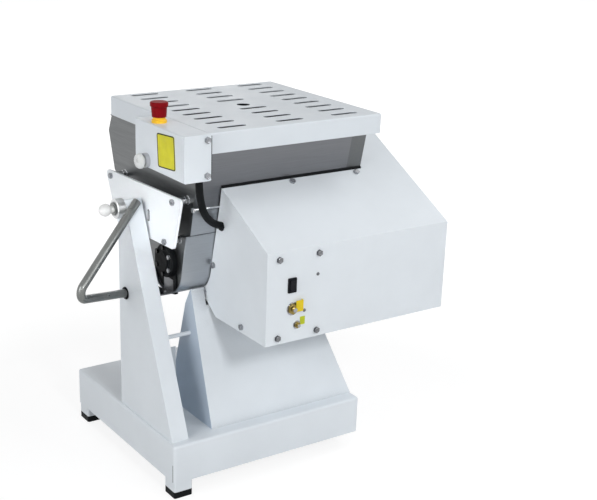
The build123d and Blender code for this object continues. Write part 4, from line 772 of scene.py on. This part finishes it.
# Slot of the tilt lock in the trunnion plate: its dark rim and the bright bar in it
SLOT_Z = 620.5
SLOT_RIM_Y, SLOT_RIM_THICK = 219.5, 0.9
SLOT_BAR_Y, SLOT_BAR_THICK = 220.5, 0.5
SLOT_BAR_OUT = 0.8
plate_x = extent("trunnion_plate")[0].x
bm = bmesh.new()
slab(bm, [at(plate_x, SLOT_RIM_Y + y, SLOT_Z + z) for y, z in rounded(9, 28, 4.4)], mm(x=-SLOT_RIM_THICK))
piece("lock_slot_rim", bm, DARK, "bowl")
bar = [at(plate_x - SLOT_BAR_OUT, SLOT_BAR_Y + y, SLOT_Z + z) for y, z in rounded(4, 21, 1.9)]
bm = bmesh.new()
slab(bm, bar, mm(x=-SLOT_BAR_THICK))
piece("lock_slot", bm, SHINY, "bowl")


# Floor, world and lamps
def math_node(tree, operation, one, other):
    """Output of a math node on two sockets."""
    node = tree.nodes.new("ShaderNodeMath")
    node.operation = operation
    tree.links.new(one, node.inputs[0])
    tree.links.new(other, node.inputs[1])
    return node.outputs[0]


def seen_directly(tree):
    """Socket that is 1 for rays from the camera and for those that metal and glass send on."""
    path = tree.nodes.new("ShaderNodeLightPath").outputs
    seen = math_node(tree, "MAXIMUM", path["Is Camera Ray"], path["Is Glossy Ray"])
    return math_node(tree, "MAXIMUM", seen, path["Is Transmission Ray"])


def surface(tree, kind, colour, strength=None):
    """Output of a shader of that kind."""
    node = tree.nodes.new(kind)
    node.inputs["Color"].default_value = (*colour, 1)
    if strength is not None:
        node.inputs["Strength"].default_value = strength
    return node.outputs[0]


def show(tree, output_kind, share, one, other):
    """Ends a tree with a mix of two shaders."""
    mix = tree.nodes.new("ShaderNodeMixShader")
    tree.links.new(share, mix.inputs["Fac"])
    tree.links.new(one, mix.inputs[1])
    tree.links.new(other, mix.inputs[2])
    tree.links.new(mix.outputs[0], tree.nodes.new(output_kind).inputs["Surface"])


FLOOR_HALF = 9.0
FLOOR_COLOUR = (0.86, 0.86, 0.86)
FLOOR_GLOW = 1.16
GLOW_REACH = (0.8, 1.9)
GLOW_SHARE = (0.72, 1.0)
WORLD_COLOUR = (0.96, 0.98, 1.0)
WORLD_LIGHT = 0.28
PURE_WHITE = (1.0, 1.0, 1.0)
floor_mesh = bpy.data.meshes.new("floor")
floor_corners = [(x * FLOOR_HALF, y * FLOOR_HALF, 0) for x, y in ((-1, -1), (1, -1), (1, 1), (-1, 1))]
floor_mesh.from_pydata(floor_corners, [], [(0, 1, 2, 3)])
floor = bpy.data.objects.new("floor", floor_mesh)
scene.collection.objects.link(floor)

# The floor keeps the object's shadow near it and turns to the background's white further out
floor_look = bpy.data.materials.new("floor")
floor_look.use_nodes = True
tree = floor_look.node_tree
tree.nodes.clear()
away = tree.nodes.new("ShaderNodeVectorMath")
away.operation = "LENGTH"
tree.links.new(tree.nodes.new("ShaderNodeTexCoord").outputs["Object"], away.inputs[0])
near = tree.nodes.new("ShaderNodeMapRange")
near.inputs["From Min"].default_value, near.inputs["From Max"].default_value = GLOW_REACH
near.inputs["To Min"].default_value, near.inputs["To Max"].default_value = GLOW_SHARE
tree.links.new(away.outputs["Value"], near.inputs["Value"])
share = math_node(tree, "MULTIPLY", seen_directly(tree), near.outputs["Result"])
diffuse = surface(tree, "ShaderNodeBsdfDiffuse", FLOOR_COLOUR)
glow = surface(tree, "ShaderNodeEmission", PURE_WHITE, FLOOR_GLOW)
show(tree, "ShaderNodeOutputMaterial", share, diffuse, glow)
floor_mesh.materials.append(floor_look)

# The world lights the object softly, and shows as plain white
world = bpy.data.worlds.new("world")
scene.world = world
world.use_nodes = True
tree = world.node_tree
tree.nodes.clear()
lit = surface(tree, "ShaderNodeBackground", WORLD_COLOUR, WORLD_LIGHT)
shown = surface(tree, "ShaderNodeBackground", PURE_WHITE, 1.0)
show(tree, "ShaderNodeOutputWorld", seen_directly(tree), lit, shown)


def lamp(name, place, aim, size, power, spread=180.0):
    """Soft rectangular lamp of that size in metres, at place, towards aim; power in watts, spread in degrees."""
    data = bpy.data.lights.new(name, "AREA")
    data.shape = "RECTANGLE"
    data.size, data.size_y = size
    data.energy = power
    data.spread = math.radians(spread)
    lamp_object = bpy.data.objects.new(name, data)
    lamp_object.location = place
    lamp_object.rotation_euler = (Vector(aim) - Vector(place)).to_track_quat("-Z", "Y").to_euler()
    scene.collection.objects.link(lamp_object)


lamp("key", (1.6, -2.9, 2.5), aim=(0, 0, 0.45), size=(1.6, 1.6), power=27)
lamp("front", (-0.45, -2.70, 1.92), aim=(0, 0, 0.45), size=(0.40, 0.40), power=25)
lamp("left_fill", (-3.3, -0.9, 1.8), aim=(0, 0, 0.5), size=(2.0, 2.0), power=47)
lamp("plate_fill", (-1.35, -1.2, 1.0), aim=(-0.195, 0.0, 0.635), size=(0.16, 0.16), power=0.095, spread=14)
lamp("back_fill", (1.2, 3.4, 0.75), aim=(0, 0, 0.5), size=(2.0, 1.2), power=14)
lamp("right_top", (1.8, -0.4, 2.4), aim=(0.25, -0.2, 0.65), size=(0.8, 0.8), power=11)

scene.view_settings.view_transform = "Standard"
